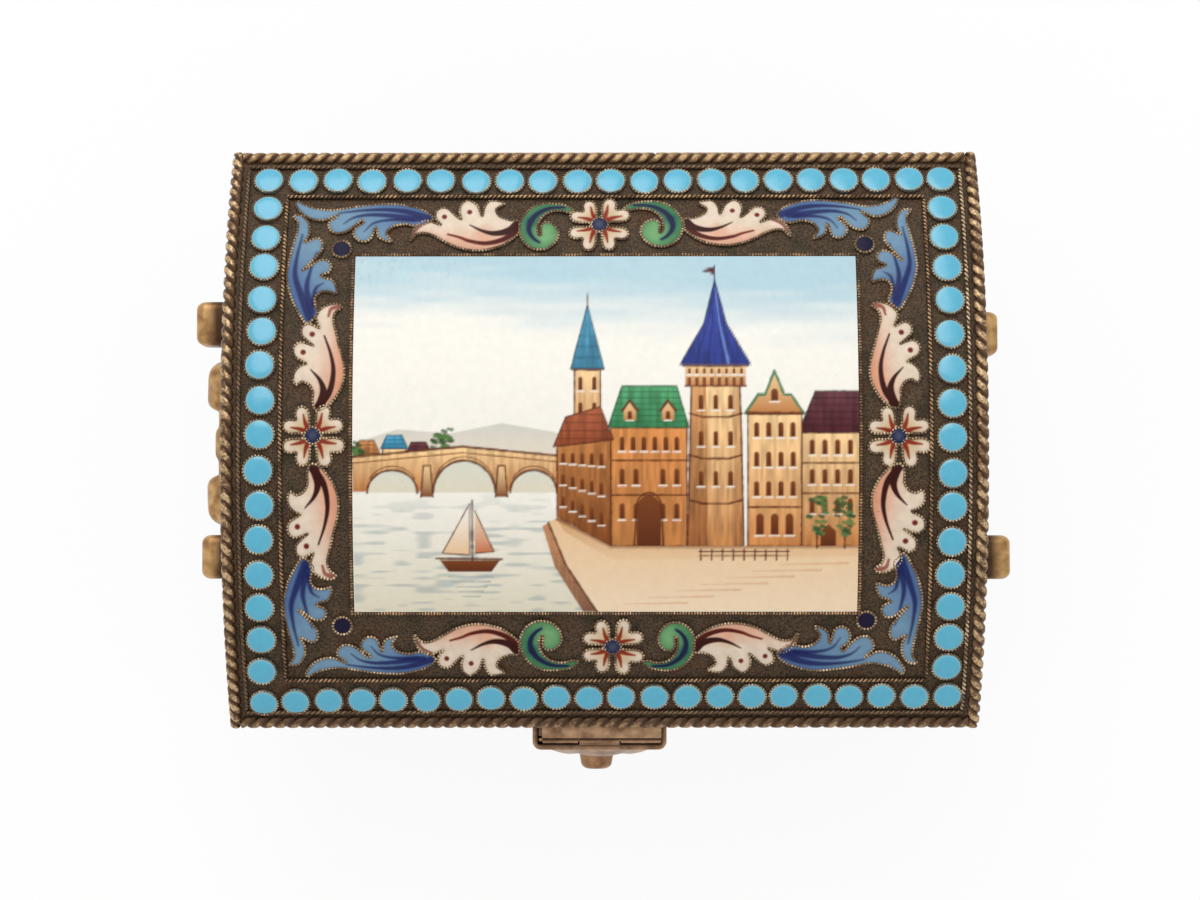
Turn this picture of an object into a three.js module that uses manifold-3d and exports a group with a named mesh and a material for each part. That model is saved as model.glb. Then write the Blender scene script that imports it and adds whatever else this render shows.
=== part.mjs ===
// A small trunk-shaped casket: a box with a barrel lid, a hinged hasp at the front
// and a swinging bail handle on each end.
// Millimetres, +Z up, +X to the right, +Y to the back. The origin is the middle of the underside.

import * as THREE from "three";
import { mergeVertices } from "three/addons/utils/BufferGeometryUtils.js";
import Module from "manifold-3d";

const wasm = await Module();
wasm.setup();

// Box
const bodyLength = 86; // over the end walls
const bodyDepth = 66; // over the front and back walls
const bodyHeight = 42; // underside to the seam with the lid
const sheet = 1.2; // metal sheet of the walls, base, vault and lid ends
const plinthLip = 1.3; // how far the base plate stands out past the walls
const seatGap = 0.1; // solder line between a piece and the one it sits on

// Liner inside the walls that the lid closes over
const linerThickness = 0.8;
const linerRise = 2.2; // above the seam
const linerDrop = 6; // below the seam
const lidFit = 0.3; // play between the liner and the lid

// Lid
const lidRimHeight = 3.6; // seam to the edge of the vault
const vaultRise = 11; // edge of the vault to its crown, outer face
const vaultOverhang = 0.5; // middle of the edge rope past the walls
const leftStray = 0.3; // the left edge rope and outer wire lie further out, as laid by hand

// Wires and enamel on the lid, set in from the middle of the edge rope:
// along the length at the two ends, and round the curve of the vault at the front and back
const ropeDiameter = 1.6;
const fineWire = 0.5;
const endInset = { outerWire: 1.4, beads: 3.5, innerWire: 5.9, plaque: 14.3 };
const longInset = { outerWire: 1.6, beads: 3.8, innerWire: 6.2, plaque: 14.9 };
const beadDiameter = 3.3;
const beadHeight = 0.55;
const beadBacking = 0.25; // strip under a row of beads
const beadPitchFront = 3.8;
const beadPitchBack = 4;
const beadPitchEnd = 4;
const plaqueThickness = 0.6;
const bezelWidth = 0.6;
const bezelHeight = 0.75;

// Back hinge
const hingeLength = 60;
const hingeKnuckles = 5;
const hingeRadius = 1.2;
const hingeBore = 0.7;
const hingePinRadius = 0.55;
const hingeStandoff = 0.6; // hinge axis past the back wall
const knuckleGap = 0.3; // between neighbours on any hinge
const grooveClearance = 0.15; // round a barrel let into a wall

// Hasp
const haspShift = -0.75; // middle of the hasp from the middle of the front
const haspWidth = 16;
const haspLength = 16;
const haspShoulder = 7; // straight sides before the cover narrows
const haspCheek = 4; // fullness of the cover below the straight sides
const haspTipHalf = 4.4; // half width of the cover a little above its tip
const haspTipRise = 2;
const haspSheet = 0.6;
const haspStandoff = 2.75; // hinge axis in front of the wall
const haspWallGap = 0.4; // between the rim of the cover and the wall
const haspRise = 1.4; // hinge axis above the seam
const haspKnuckleRadius = 0.5;
const haspBore = 0.36;
const haspPinRadius = 0.26;
const haspMiddleKnuckle = 4.8;
const leafWidth = 14.5;
const leafThickness = 1;
const leafTopSheet = 0.6; // plate over the knuckles
const leafTopEdge = 0.15; // edge of that plate, behind the hinge axis
const knobRadius = 2.1;
const knobLength = 2.7;
const knobShift = -0.4; // middle of the knob from the middle of the hasp
const domeFullness = 0.85; // how square the knob and the catch stud are in profile
const knobDrop = 9; // below the hinge axis
const knobShank = 0.6;
const catchRadius = 1.2;
const catchLength = 2.2;
const catchDrop = 5;

// Side handles
const handlePivotDrop = 11; // pivot below the seam
const handleStandoff = { left: 3.4, right: 2.9 }; // pivot out from the end wall
const handleShift = { left: 0.5, right: -0.2 }; // middle of a handle towards the back
const lugSpacing = { left: 28.8, right: 27.6 }; // between the middles of the two lugs
const lugWidth = 5.4;
const lugHeight = 5.6;
// outer face of a lug past the pivot, uneven as made by hand
const lugReach = { left: { front: 3.3, back: 4.1 }, right: { front: 3.85, back: 2.3 } };
const lugCorner = 1;
const lugRound = 0.6;
const lugBore = 0.75;
const pivotPinRadius = 0.6;
const bailLean = { left: 10, right: 0 }; // degrees outwards, as the handles hang
const bailEyeRadius = 1.3;
const bailEyeWidth = 2.6;
const bailEyeBore = 0.7;
const bailDrop = 9; // pivot to the middle of the grip
const bailArmDrop = 4; // straight part of an arm
const bailShoulder = { y: 6.85, drop: 7 }; // middle of an outer swelling
const bailWaist = { y: 3.4, drop: 8.6 }; // between the swellings
const bailRadius = 1.15;
const bailSwelling = { rise: 1.45, reach: 2.45 };
const bailMiddleSwelling = { rise: 0.4, reach: 1.9 };
const swellingSquareness = 8; // how flat-sided a swelling is

// Fineness of round shapes
const barrelSides = 20;
const pinSides = 16;
const wireSides = 8;
const beadSides = 8;
const bailSides = 10;
const bailSteps = 56;
const cutPast = 1; // how far a cutting shape runs past what it cuts
const arcStep = THREE.MathUtils.degToRad(3);

// Sizes that follow
const halfLength = bodyLength / 2;
const halfDepth = bodyDepth / 2;
const seam = bodyHeight;
const ropeRadius = ropeDiameter / 2;
const vaultEdgeY = halfDepth + vaultOverhang;
const vaultEdgeX = halfLength + vaultOverhang;
const vaultEdgeZ = seam + lidRimHeight;
const vaultRadius = (vaultEdgeY ** 2 + vaultRise ** 2) / (2 * vaultRise);
const vaultCentreZ = vaultEdgeZ + vaultRise - vaultRadius;
const vaultEdgeArc = vaultRadius * Math.asin(vaultEdgeY / vaultRadius);
const vaultHalfX = vaultEdgeX - ropeRadius - seatGap;
const vaultHalfAngle = Math.asin((vaultEdgeY - ropeRadius - seatGap) / vaultRadius);
const beadX = vaultEdgeX - endInset.beads;
const beadArc = vaultEdgeArc - longInset.beads;
const rimTop = vaultEdgeZ - ropeRadius - seatGap;
const haspAxisY = -halfDepth - haspStandoff;
const haspAxisZ = seam + haspRise;
const haspFlangeReach = haspStandoff - haspWallGap;

// Metals and enamels
function finish(colour, roughness, metalness) {
  return new THREE.MeshStandardMaterial({ color: colour, roughness, metalness });
}
const giltSheet = () => finish(0x6b5440, 0.55, 0.9);
const giltWire = () => finish(0xb38a5c, 0.4, 0.95);
const giltCast = () => finish(0xb08352, 0.35, 0.95);
const turquoiseEnamel = () => finish(0x74b8d0, 0.3, 0);
const paintedEnamel = () => finish(0xb9b3a0, 0.25, 0);

// Shared shapes
function toManifold(geometry) {
  const bare = new THREE.BufferGeometry();
  bare.setAttribute("position", geometry.getAttribute("position").clone());
  if (geometry.index) bare.setIndex(geometry.index.clone());
  const merged = mergeVertices(bare, 1e-4);
  const mesh = new wasm.Mesh({
    numProp: 3,
    vertProperties: new Float32Array(merged.getAttribute("position").array),
    triVerts: new Uint32Array(merged.index.array),
  });
  return new wasm.Manifold(mesh);
}

function toGeometry(manifold) {
  const mesh = manifold.getMesh();
  const geometry = new THREE.BufferGeometry();
  geometry.setAttribute("position", new THREE.BufferAttribute(mesh.vertProperties, 3));
  geometry.setIndex(new THREE.BufferAttribute(mesh.triVerts, 1));
  geometry.computeVertexNormals();
  return geometry;
}

function join(...geometries) {
  return toGeometry(geometries.map(toManifold).reduce((sum, piece) => sum.add(piece)));
}

function cut(geometry, ...tools) {
  return toGeometry(tools.map(toManifold).reduce((rest, tool) => rest.subtract(tool), toManifold(geometry)));
}

function block(xFrom, xTo, yFrom, yTo, zFrom, zTo) {
  const geometry = new THREE.BoxGeometry(xTo - xFrom, yTo - yFrom, zTo - zFrom);
  return geometry.translate((xFrom + xTo) / 2, (yFrom + yTo) / 2, (zFrom + zTo) / 2);
}

const alongX = new THREE.Matrix4().makeBasis(
  new THREE.Vector3(0, 1, 0),
  new THREE.Vector3(0, 0, 1),
  new THREE.Vector3(1, 0, 0),
);
const alongY = new THREE.Matrix4().makeBasis(
  new THREE.Vector3(0, 0, 1),
  new THREE.Vector3(1, 0, 0),
  new THREE.Vector3(0, 1, 0),
);
const towardsFront = new THREE.Matrix4().makeBasis(
  new THREE.Vector3(1, 0, 0),
  new THREE.Vector3(0, 0, 1),
  new THREE.Vector3(0, -1, 0),
);

// A straight prism of an outline, run along one axis from a start to an end.
// Each arc of the outline is drawn with the given number of straight sides.
function prism(shape, direction, from, to, sides) {
  const geometry = new THREE.ExtrudeGeometry(shape, {
    depth: to - from,
    bevelEnabled: false,
    curveSegments: sides / 2,
  });
  return geometry.translate(0, 0, from).applyMatrix4(direction);
}

function disc(radius) {
  return new THREE.Shape().absarc(0, 0, radius, 0, 2 * Math.PI, false);
}

function ring(outer, inner) {
  const shape = disc(outer);
  shape.holes.push(new THREE.Path().absarc(0, 0, inner, 0, 2 * Math.PI, true));
  return shape;
}

// Angle up from +Y of a place on the vault, given its distance round the arc from the crown
function crownAngle(arc) {
  return Math.PI / 2 - arc / vaultRadius;
}

// Number of straight sides for an arc that spans an angle
function evenSides(angle) {
  return 2 * Math.ceil(angle / arcStep / 2);
}

// A strip that follows the vault, between two radii, two places round the arc and two along the length
function vaultStrip(inner, outer, arcFrom, arcTo, xFrom, xTo) {
  const start = crownAngle(arcTo);
  const end = crownAngle(arcFrom);
  const shape = new THREE.Shape();
  shape.absarc(0, vaultCentreZ, outer, start, end, false);
  shape.absarc(0, vaultCentreZ, inner, end, start, true);
  return prism(shape, alongX, xFrom, xTo, evenSides(end - start));
}

// A straight strip along the length of the vault, turned to stand square on it
function vaultBar(width, inner, outer, arc, xFrom, xTo) {
  const geometry = block(xFrom, xTo, -width / 2, width / 2, inner, outer);
  return geometry.rotateX(-arc / vaultRadius).translate(0, 0, vaultCentreZ);
}

function straightRope(xFrom, xTo) {
  return prism(disc(ropeRadius), alongX, xFrom, xTo, wireSides);
}

class VaultArc extends THREE.Curve {
  constructor(radius, halfAngle) {
    super();
    this.radius = radius;
    this.halfAngle = halfAngle;
  }
  getPoint(t) {
    const angle = this.halfAngle * (2 * t - 1);
    return new THREE.Vector3(0, this.radius * Math.sin(angle), vaultCentreZ + this.radius * Math.cos(angle));
  }
}

function archedRope() {
  const radius = vaultRadius - seatGap * 2;
  const halfAngle = Math.asin((vaultEdgeY + ropeRadius / 2) / radius);
  return new THREE.ExtrudeGeometry(disc(ropeRadius), {
    extrudePath: new VaultArc(radius, halfAngle),
    steps: evenSides(2 * halfAngle),
    curveSegments: wireSides / 2,
    bevelEnabled: false,
  });
}

const casket = new THREE.Group();
casket.name = "cloisonne_casket";

function addTo(parent, name, geometry, material, x = 0, y = 0, z = 0) {
  const mesh = new THREE.Mesh(geometry, material);
  mesh.name = name;
  mesh.position.set(x, y, z);
  parent.add(mesh);
  return mesh;
}

function groupIn(parent, name, x = 0, y = 0, z = 0) {
  const group = new THREE.Group();
  group.name = name;
  group.position.set(x, y, z);
  parent.add(group);
  return group;
}

const body = groupIn(casket, "body");
const lid = groupIn(casket, "lid");

// Hinge barrel groove, cut in the back wall and in the back rim of the lid
function hingeGroove() {
  const half = hingeLength / 2 + knuckleGap;
  const barrel = prism(disc(hingeRadius + grooveClearance), alongX, -half, half, barrelSides);
  return barrel.translate(0, halfDepth + hingeStandoff, seam);
}

// Base and walls
function addBox() {
  const plinthX = halfLength + plinthLip;
  const plinthY = halfDepth + plinthLip;
  addTo(body, "base_plate", block(-plinthX, plinthX, -plinthY, plinthY, 0, sheet), giltSheet());
  const innerX = halfLength - sheet;
  const innerY = halfDepth - sheet;
  const front = block(-innerX, innerX, -halfDepth, -innerY, sheet, seam);
  const back = block(-innerX, innerX, innerY, halfDepth, sheet, seam);
  addTo(body, "front_wall", front, giltSheet());
  addTo(body, "back_wall", cut(back, hingeGroove()), giltSheet());
  addTo(body, "left_wall", block(-halfLength, -innerX, -halfDepth, halfDepth, sheet, seam), giltSheet());
  addTo(body, "right_wall", block(innerX, halfLength, -halfDepth, halfDepth, sheet, seam), giltSheet());
}

function addLiner() {
  const outerX = halfLength - sheet - lidFit;
  const outerY = halfDepth - sheet - lidFit;
  const innerX = outerX - linerThickness;
  const innerY = outerY - linerThickness;
  const low = seam - linerDrop;
  const high = seam + linerRise;
  addTo(body, "liner_front", block(-outerX, outerX, -outerY, -innerY, low, high), giltSheet());
  addTo(body, "liner_back", block(-outerX, outerX, innerY, outerY, low, high), giltSheet());
  addTo(body, "liner_left", block(-outerX, -innerX, -innerY, innerY, low, high), giltSheet());
  addTo(body, "liner_right", block(innerX, outerX, -innerY, innerY, low, high), giltSheet());
}

function addFootRope() {
  const outX = halfLength + ropeRadius + seatGap;
  const outY = halfDepth + ropeRadius + seatGap;
  const height = sheet + ropeRadius + seatGap;
  const alongFront = straightRope(-outX - ropeRadius, outX + ropeRadius);
  addTo(body, "foot_rope_front", alongFront, giltWire(), 0, -outY, height);
  addTo(body, "foot_rope_back", alongFront.clone(), giltWire(), 0, outY, height);
  const half = halfDepth - seatGap;
  const alongEnd = prism(disc(ropeRadius), alongY, -half, half, wireSides);
  addTo(body, "foot_rope_left", alongEnd, giltWire(), -outX, 0, height);
  addTo(body, "foot_rope_right", alongEnd.clone(), giltWire(), outX, 0, height);
}

// Lid shell
function addLidShell() {
  const strip = vaultHalfAngle * vaultRadius;
  const vault = vaultStrip(vaultRadius - sheet, vaultRadius, -strip, strip, -vaultHalfX, vaultHalfX);
  addTo(lid, "lid_vault", vault, giltSheet());
  addLidEnds();
  const innerX = halfLength - sheet;
  const innerY = halfDepth - sheet;
  const front = block(-innerX, innerX, -halfDepth, -innerY, seam, rimTop);
  const back = block(-innerX, innerX, innerY, halfDepth, seam, rimTop);
  addTo(lid, "lid_rim_front", front, giltSheet());
  addTo(lid, "lid_rim_back", cut(back, hingeGroove()), giltSheet());
}

function addLidEnds() {
  const radius = vaultRadius - sheet - seatGap * 2;
  const corner = Math.acos(halfDepth / radius);
  const shape = new THREE.Shape();
  shape.moveTo(-halfDepth, seam);
  shape.lineTo(halfDepth, seam);
  shape.absarc(0, vaultCentreZ, radius, corner, Math.PI - corner, false);
  const sides = evenSides(Math.PI - 2 * corner);
  addTo(lid, "lid_end_left", prism(shape, alongX, -halfLength, -halfLength + sheet, sides), giltSheet());
  addTo(lid, "lid_end_right", prism(shape, alongX, halfLength - sheet, halfLength, sides), giltSheet());
}

// Wires round the lid
function addLidRope() {
  const straight = straightRope(-vaultHalfX, vaultHalfX);
  addTo(lid, "lid_rope_front", straight, giltWire(), 0, -vaultEdgeY, vaultEdgeZ);
  addTo(lid, "lid_rope_back", straight.clone(), giltWire(), 0, vaultEdgeY, vaultEdgeZ);
  addTo(lid, "lid_rope_left", archedRope(), giltWire(), -vaultEdgeX - leftStray);
  addTo(lid, "lid_rope_right", archedRope(), giltWire(), vaultEdgeX);
}

function addWireFrame(label, band, stray) {
  const wireX = vaultEdgeX - endInset[band];
  const wireArc = vaultEdgeArc - longInset[band];
  const low = vaultRadius + seatGap;
  const high = low + fineWire;
  const left = -wireX - stray;
  const from = left - fineWire / 2;
  const to = wireX + fineWire / 2;
  const stop = wireArc - fineWire / 2 - seatGap;
  addTo(lid, `${label}_wire_front`, vaultBar(fineWire, low, high, -wireArc, from, to), giltWire());
  addTo(lid, `${label}_wire_back`, vaultBar(fineWire, low, high, wireArc, from, to), giltWire());
  const side = (x) => vaultStrip(low, high, -stop, stop, x - fineWire / 2, x + fineWire / 2);
  addTo(lid, `${label}_wire_left`, side(left), giltWire());
  addTo(lid, `${label}_wire_right`, side(wireX), giltWire());
}

// Enamel on the lid
function bead(x, arc) {
  const low = vaultRadius + seatGap;
  const geometry = new THREE.CylinderGeometry(beadDiameter / 2, beadDiameter / 2, beadHeight, beadSides);
  geometry.rotateX(Math.PI / 2).translate(x, 0, low + beadHeight / 2);
  return geometry.rotateX(-arc / vaultRadius).translate(0, 0, vaultCentreZ);
}

function addBeadRows() {
  const low = vaultRadius + 2 * seatGap;
  const high = low + beadBacking;
  const width = beadDiameter / 2;
  const row = (wantedPitch, arc) => {
    const spaces = Math.round((2 * beadX) / wantedPitch);
    const pitch = (2 * beadX) / spaces;
    const beads = Array.from({ length: spaces + 1 }, (_, i) => bead(-beadX + i * pitch, arc));
    return join(vaultBar(width, low, high, arc, -beadX, beadX), ...beads);
  };
  // the corner beads belong to the front and back rows
  const column = (x) => {
    const spaces = Math.round((2 * beadArc) / beadPitchEnd);
    const pitch = (2 * beadArc) / spaces;
    const reach = beadArc - pitch;
    const beads = Array.from({ length: spaces - 1 }, (_, i) => bead(x, -reach + i * pitch));
    return join(vaultStrip(low, high, -reach, reach, x - width / 2, x + width / 2), ...beads);
  };
  addTo(lid, "bead_row_front", row(beadPitchFront, -beadArc), turquoiseEnamel());
  addTo(lid, "bead_row_back", row(beadPitchBack, beadArc), turquoiseEnamel());
  addTo(lid, "bead_row_left", column(-beadX), turquoiseEnamel());
  addTo(lid, "bead_row_right", column(beadX), turquoiseEnamel());
}

function addPlaque() {
  const low = vaultRadius + seatGap;
  const plaqueX = vaultEdgeX - endInset.plaque;
  const plaqueArc = vaultEdgeArc - longInset.plaque;
  const plaque = vaultStrip(low, low + plaqueThickness, -plaqueArc, plaqueArc, -plaqueX, plaqueX);
  addTo(lid, "enamel_plaque", plaque, paintedEnamel());
  const holeX = plaqueX + seatGap;
  const holeArc = plaqueArc + seatGap;
  const bezelX = holeX + bezelWidth;
  const bezelArc = holeArc + bezelWidth;
  const outside = vaultStrip(low, low + bezelHeight, -bezelArc, bezelArc, -bezelX, bezelX);
  const inside = vaultStrip(low - cutPast, low + bezelHeight + cutPast, -holeArc, holeArc, -holeX, holeX);
  addTo(lid, "plaque_bezel", cut(outside, inside), giltWire());
}

// Back hinge
function addHinge() {
  const pitch = hingeLength / hingeKnuckles;
  const length = pitch - knuckleGap;
  const y = halfDepth + hingeStandoff;
  const knuckle = prism(ring(hingeRadius, hingeBore), alongX, -length / 2, length / 2, barrelSides);
  for (let i = 0; i < hingeKnuckles; i += 1) {
    const x = (i - (hingeKnuckles - 1) / 2) * pitch;
    const onBody = i % 2 === 0;
    const name = `${onBody ? "body" : "lid"}_hinge_knuckle_${Math.floor(i / 2) + 1}`;
    addTo(onBody ? body : lid, name, knuckle.clone(), giltCast(), x, y, seam);
  }
  const half = (hingeLength - knuckleGap) / 2;
  const pin = prism(disc(hingePinRadius), alongX, -half, half, pinSides);
  addTo(body, "lid_hinge_pin", pin, giltCast(), 0, y, seam);
}

// Hasp leaf on the lid, with its two knuckles and the pin
function addHaspLeaf() {
  const half = leafWidth / 2;
  const gap = haspMiddleKnuckle / 2 + knuckleGap;
  const back = haspStandoff;
  const notch = haspKnuckleRadius + grooveClearance;
  const bar = block(-half, half, notch, back, -leafThickness / 2, leafThickness / 2);
  const arm = (from, to) => join(
    block(from, to, 0, back, -leafThickness / 2, leafThickness / 2),
    prism(disc(haspKnuckleRadius), alongX, from, to, barrelSides),
  );
  const topFrom = leafThickness / 2 - seatGap;
  const topLow = haspKnuckleRadius + seatGap;
  const top = block(-half, half, leafTopEdge, back, topLow, topLow + leafTopSheet);
  const web = block(-half, half, notch, back, topFrom, topLow + leafTopSheet);
  const bore = prism(disc(haspBore), alongX, -half - cutPast, half + cutPast, barrelSides);
  const leaf = cut(join(bar, arm(-half, -gap), arm(gap, half), top, web), bore);
  addTo(lid, "hasp_leaf", leaf, giltCast(), haspShift, haspAxisY, haspAxisZ);
  const pin = prism(disc(haspPinRadius), alongX, -half, half, pinSides);
  addTo(lid, "hasp_hinge_pin", pin, giltCast(), haspShift, haspAxisY, haspAxisZ);
}

// Hasp cover: a shield-shaped pan, open at the top, with the middle knuckle
function haspOutline(inset, top) {
  const half = haspWidth / 2 - inset;
  const cheek = -haspShoulder - haspCheek + inset;
  const tipHalf = haspTipHalf - inset / 2;
  const tip = -haspLength + haspTipRise + inset;
  const shape = new THREE.Shape();
  shape.moveTo(-half, top);
  shape.lineTo(-half, -haspShoulder);
  shape.bezierCurveTo(-half, cheek, -tipHalf, tip, 0, -haspLength + inset);
  shape.bezierCurveTo(tipHalf, tip, half, cheek, half, -haspShoulder);
  shape.lineTo(half, top);
  return shape;
}

function addHasp() {
  const hasp = groupIn(lid, "hasp", haspShift, haspAxisY, haspAxisZ);
  const half = haspWidth / 2;
  const face = haspKnuckleRadius + grooveClearance;
  const outside = prism(haspOutline(0, 0), towardsFront, -haspFlangeReach, face + haspSheet, barrelSides);
  const hollowFrom = -haspFlangeReach - cutPast;
  const hollow = prism(haspOutline(haspSheet, cutPast), towardsFront, hollowFrom, face, barrelSides);
  const pan = cut(outside, hollow);
  const middle = haspMiddleKnuckle / 2;
  const knuckle = prism(disc(haspKnuckleRadius), alongX, -middle, middle, barrelSides);
  const tongue = block(-middle, middle, -face - haspSheet / 2, 0, -haspKnuckleRadius, 0);
  const bore = prism(disc(haspBore), alongX, -middle - cutPast, middle + cutPast, barrelSides);
  const shankHole = prism(disc(knobShank + grooveClearance), alongY, -half, 0, pinSides);
  shankHole.translate(knobShift, 0, -knobDrop);
  const cover = cut(join(pan, knuckle, tongue), bore, shankHole);
  addTo(hasp, "hasp_cover", cover, giltCast());
  addTo(hasp, "hasp_knob", haspKnob(), giltCast(), knobShift, -face - haspSheet - seatGap, -knobDrop);
}

// Profile of a rounded stud, from its rim round to the middle of its top
function dome(radius, length) {
  const curve = new THREE.CubicBezierCurve(
    new THREE.Vector2(radius, 0),
    new THREE.Vector2(radius, length * domeFullness),
    new THREE.Vector2(radius * domeFullness, length),
    new THREE.Vector2(0, length),
  );
  return curve.getPoints(pinSides / 2);
}

function haspKnob() {
  const shankEnd = -haspSheet - seatGap;
  const shank = [
    new THREE.Vector2(0, shankEnd),
    new THREE.Vector2(knobShank, shankEnd),
    new THREE.Vector2(knobShank, 0),
  ];
  return new THREE.LatheGeometry([...shank, ...dome(knobRadius, knobLength)], pinSides).rotateX(Math.PI);
}

function addCatch() {
  const profile = [new THREE.Vector2(0, 0), ...dome(catchRadius, catchLength)];
  const stud = new THREE.LatheGeometry(profile, pinSides).rotateX(Math.PI);
  addTo(body, "catch_stud", stud, giltCast(), haspShift, -halfDepth, haspAxisZ - catchDrop);
}

// Side handles
function lugGeometry(reach, standoff) {
  const shape = new THREE.Shape();
  const half = lugHeight / 2 - lugRound;
  const turn = half - lugCorner;
  const level = reach - lugRound - lugCorner;
  const back = -standoff - cutPast;
  shape.moveTo(half, back);
  shape.absarc(turn, level, lugCorner, 0, Math.PI / 2, false);
  shape.absarc(-turn, level, lugCorner, Math.PI / 2, Math.PI, false);
  shape.lineTo(-half, back);
  const solid = new THREE.ExtrudeGeometry(shape, {
    depth: lugWidth - 2 * lugRound,
    bevelThickness: lugRound,
    bevelSize: lugRound,
    bevelSegments: 2,
    curveSegments: pinSides / 4,
  });
  solid.translate(0, 0, -lugWidth / 2 + lugRound).applyMatrix4(alongY);
  const seat = -standoff + seatGap;
  const wallSide = block(seat - standoff, seat, -lugWidth, lugWidth, -lugWidth, lugWidth);
  return cut(solid, prism(disc(lugBore), alongY, -lugWidth, lugWidth, barrelSides), wallSide);
}

// A round bar of changing thickness along a curve, closed at both ends
function swellingBar(curve, radiusAt, steps, sides) {
  const points = [];
  const frames = curve.computeFrenetFrames(steps, false);
  for (let i = 0; i <= steps; i += 1) {
    const centre = curve.getPointAt(i / steps);
    const radius = radiusAt(centre);
    for (let j = 0; j < sides; j += 1) {
      const turn = (2 * Math.PI * j) / sides;
      const point = centre.clone();
      point.addScaledVector(frames.normals[i], radius * Math.cos(turn));
      point.addScaledVector(frames.binormals[i], radius * Math.sin(turn));
      points.push(point);
    }
  }
  points.push(curve.getPointAt(0), curve.getPointAt(1));
  const first = points.length - 2;
  const last = points.length - 1;
  const index = [];
  for (let j = 0; j < sides; j += 1) {
    const next = (j + 1) % sides;
    index.push(first, next, j);
    index.push(last, steps * sides + j, steps * sides + next);
    for (let i = 0; i < steps; i += 1) {
      const low = i * sides;
      const high = low + sides;
      index.push(low + j, low + next, high + next, low + j, high + next, high + j);
    }
  }
  const geometry = new THREE.BufferGeometry().setFromPoints(points);
  geometry.setIndex(index);
  return geometry;
}

function bailGeometry(eyeY) {
  const stations = [
    [eyeY, bailEyeRadius / 2],
    [eyeY, bailArmDrop],
    [bailShoulder.y, bailShoulder.drop],
    [bailWaist.y, bailWaist.drop],
  ];
  const arm = (sign) => stations.map(([y, drop]) => new THREE.Vector3(0, sign * y, -drop));
  const middle = new THREE.Vector3(0, 0, -bailDrop);
  const curve = new THREE.CatmullRomCurve3([...arm(-1), middle, ...arm(1).reverse()]);
  const hump = (distance, swelling) =>
    swelling.rise * Math.exp(-((distance / swelling.reach) ** swellingSquareness));
  const radiusAt = (point) => bailRadius
    + hump(Math.abs(point.y) - bailShoulder.y, bailSwelling)
    + hump(point.y, bailMiddleSwelling);
  const bar = swellingBar(curve, radiusAt, bailSteps, bailSides);
  const half = bailEyeWidth / 2;
  const eye = (y) => prism(disc(bailEyeRadius), alongY, y - half, y + half, barrelSides);
  const reach = half + cutPast;
  const bore = (y) => prism(disc(bailEyeBore), alongY, y - reach, y + reach, barrelSides);
  return cut(join(bar, eye(-eyeY), eye(eyeY)), bore(-eyeY), bore(eyeY));
}

function addHandle(side, direction) {
  const turn = direction > 0 ? 0 : Math.PI;
  const standoff = handleStandoff[side];
  const spacing = lugSpacing[side];
  const eyeY = (spacing - lugWidth - bailEyeWidth) / 2 - knuckleGap;
  const pivotX = direction * (halfLength + standoff);
  const handle = groupIn(body, `${side}_handle`, pivotX, handleShift[side], seam - handlePivotDrop);
  handle.rotation.z = turn;
  const ends = direction > 0 ? ["front", "back"] : ["back", "front"];
  const pinFrom = eyeY - bailEyeWidth / 2;
  const pinTo = (spacing + lugWidth) / 2 - knuckleGap;
  ends.forEach((end, i) => {
    const sign = i === 0 ? -1 : 1;
    const lug = lugGeometry(lugReach[side][end], standoff);
    addTo(handle, `${side}_lug_${end}`, lug, giltCast(), 0, (sign * spacing) / 2);
    const span = sign < 0 ? [-pinTo, -pinFrom] : [pinFrom, pinTo];
    const pin = prism(disc(pivotPinRadius), alongY, span[0], span[1], pinSides);
    addTo(handle, `${side}_pivot_pin_${end}`, pin, giltCast());
  });
  const lean = THREE.MathUtils.degToRad(-bailLean[side]);
  addTo(handle, `${side}_bail`, bailGeometry(eyeY).rotateY(lean), giltCast());
}

addBox();
addLiner();
addFootRope();
addLidShell();
addLidRope();
addWireFrame("outer", "outerWire", leftStray);
addWireFrame("inner", "innerWire", 0);
addBeadRows();
addPlaque();
addHinge();
addHaspLeaf();
addHasp();
addCatch();
addHandle("left", -1);
addHandle("right", 1);

export default casket;
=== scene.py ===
"""Looks of the cloisonne enamel casket. Lengths are millimetres until a mesh is made."""

import math

import bpy
import numpy as np
from mathutils import Matrix, Vector
from mathutils.geometry import delaunay_2d_cdt

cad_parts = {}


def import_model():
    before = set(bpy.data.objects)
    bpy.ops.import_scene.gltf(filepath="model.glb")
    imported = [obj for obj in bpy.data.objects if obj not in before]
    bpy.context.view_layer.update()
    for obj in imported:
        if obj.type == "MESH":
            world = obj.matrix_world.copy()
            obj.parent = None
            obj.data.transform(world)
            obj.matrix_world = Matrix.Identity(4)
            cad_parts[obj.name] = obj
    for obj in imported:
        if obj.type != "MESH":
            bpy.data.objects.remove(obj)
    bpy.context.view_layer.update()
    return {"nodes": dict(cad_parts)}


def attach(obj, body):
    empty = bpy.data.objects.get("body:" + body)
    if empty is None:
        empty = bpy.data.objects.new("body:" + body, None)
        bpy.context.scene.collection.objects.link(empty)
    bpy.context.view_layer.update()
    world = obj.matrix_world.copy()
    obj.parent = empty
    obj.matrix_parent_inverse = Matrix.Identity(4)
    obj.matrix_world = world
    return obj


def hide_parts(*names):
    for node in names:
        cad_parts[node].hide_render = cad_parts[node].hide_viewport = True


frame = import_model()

MM = 0.001
SEED = 11
CREASE = math.radians(40)

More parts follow.
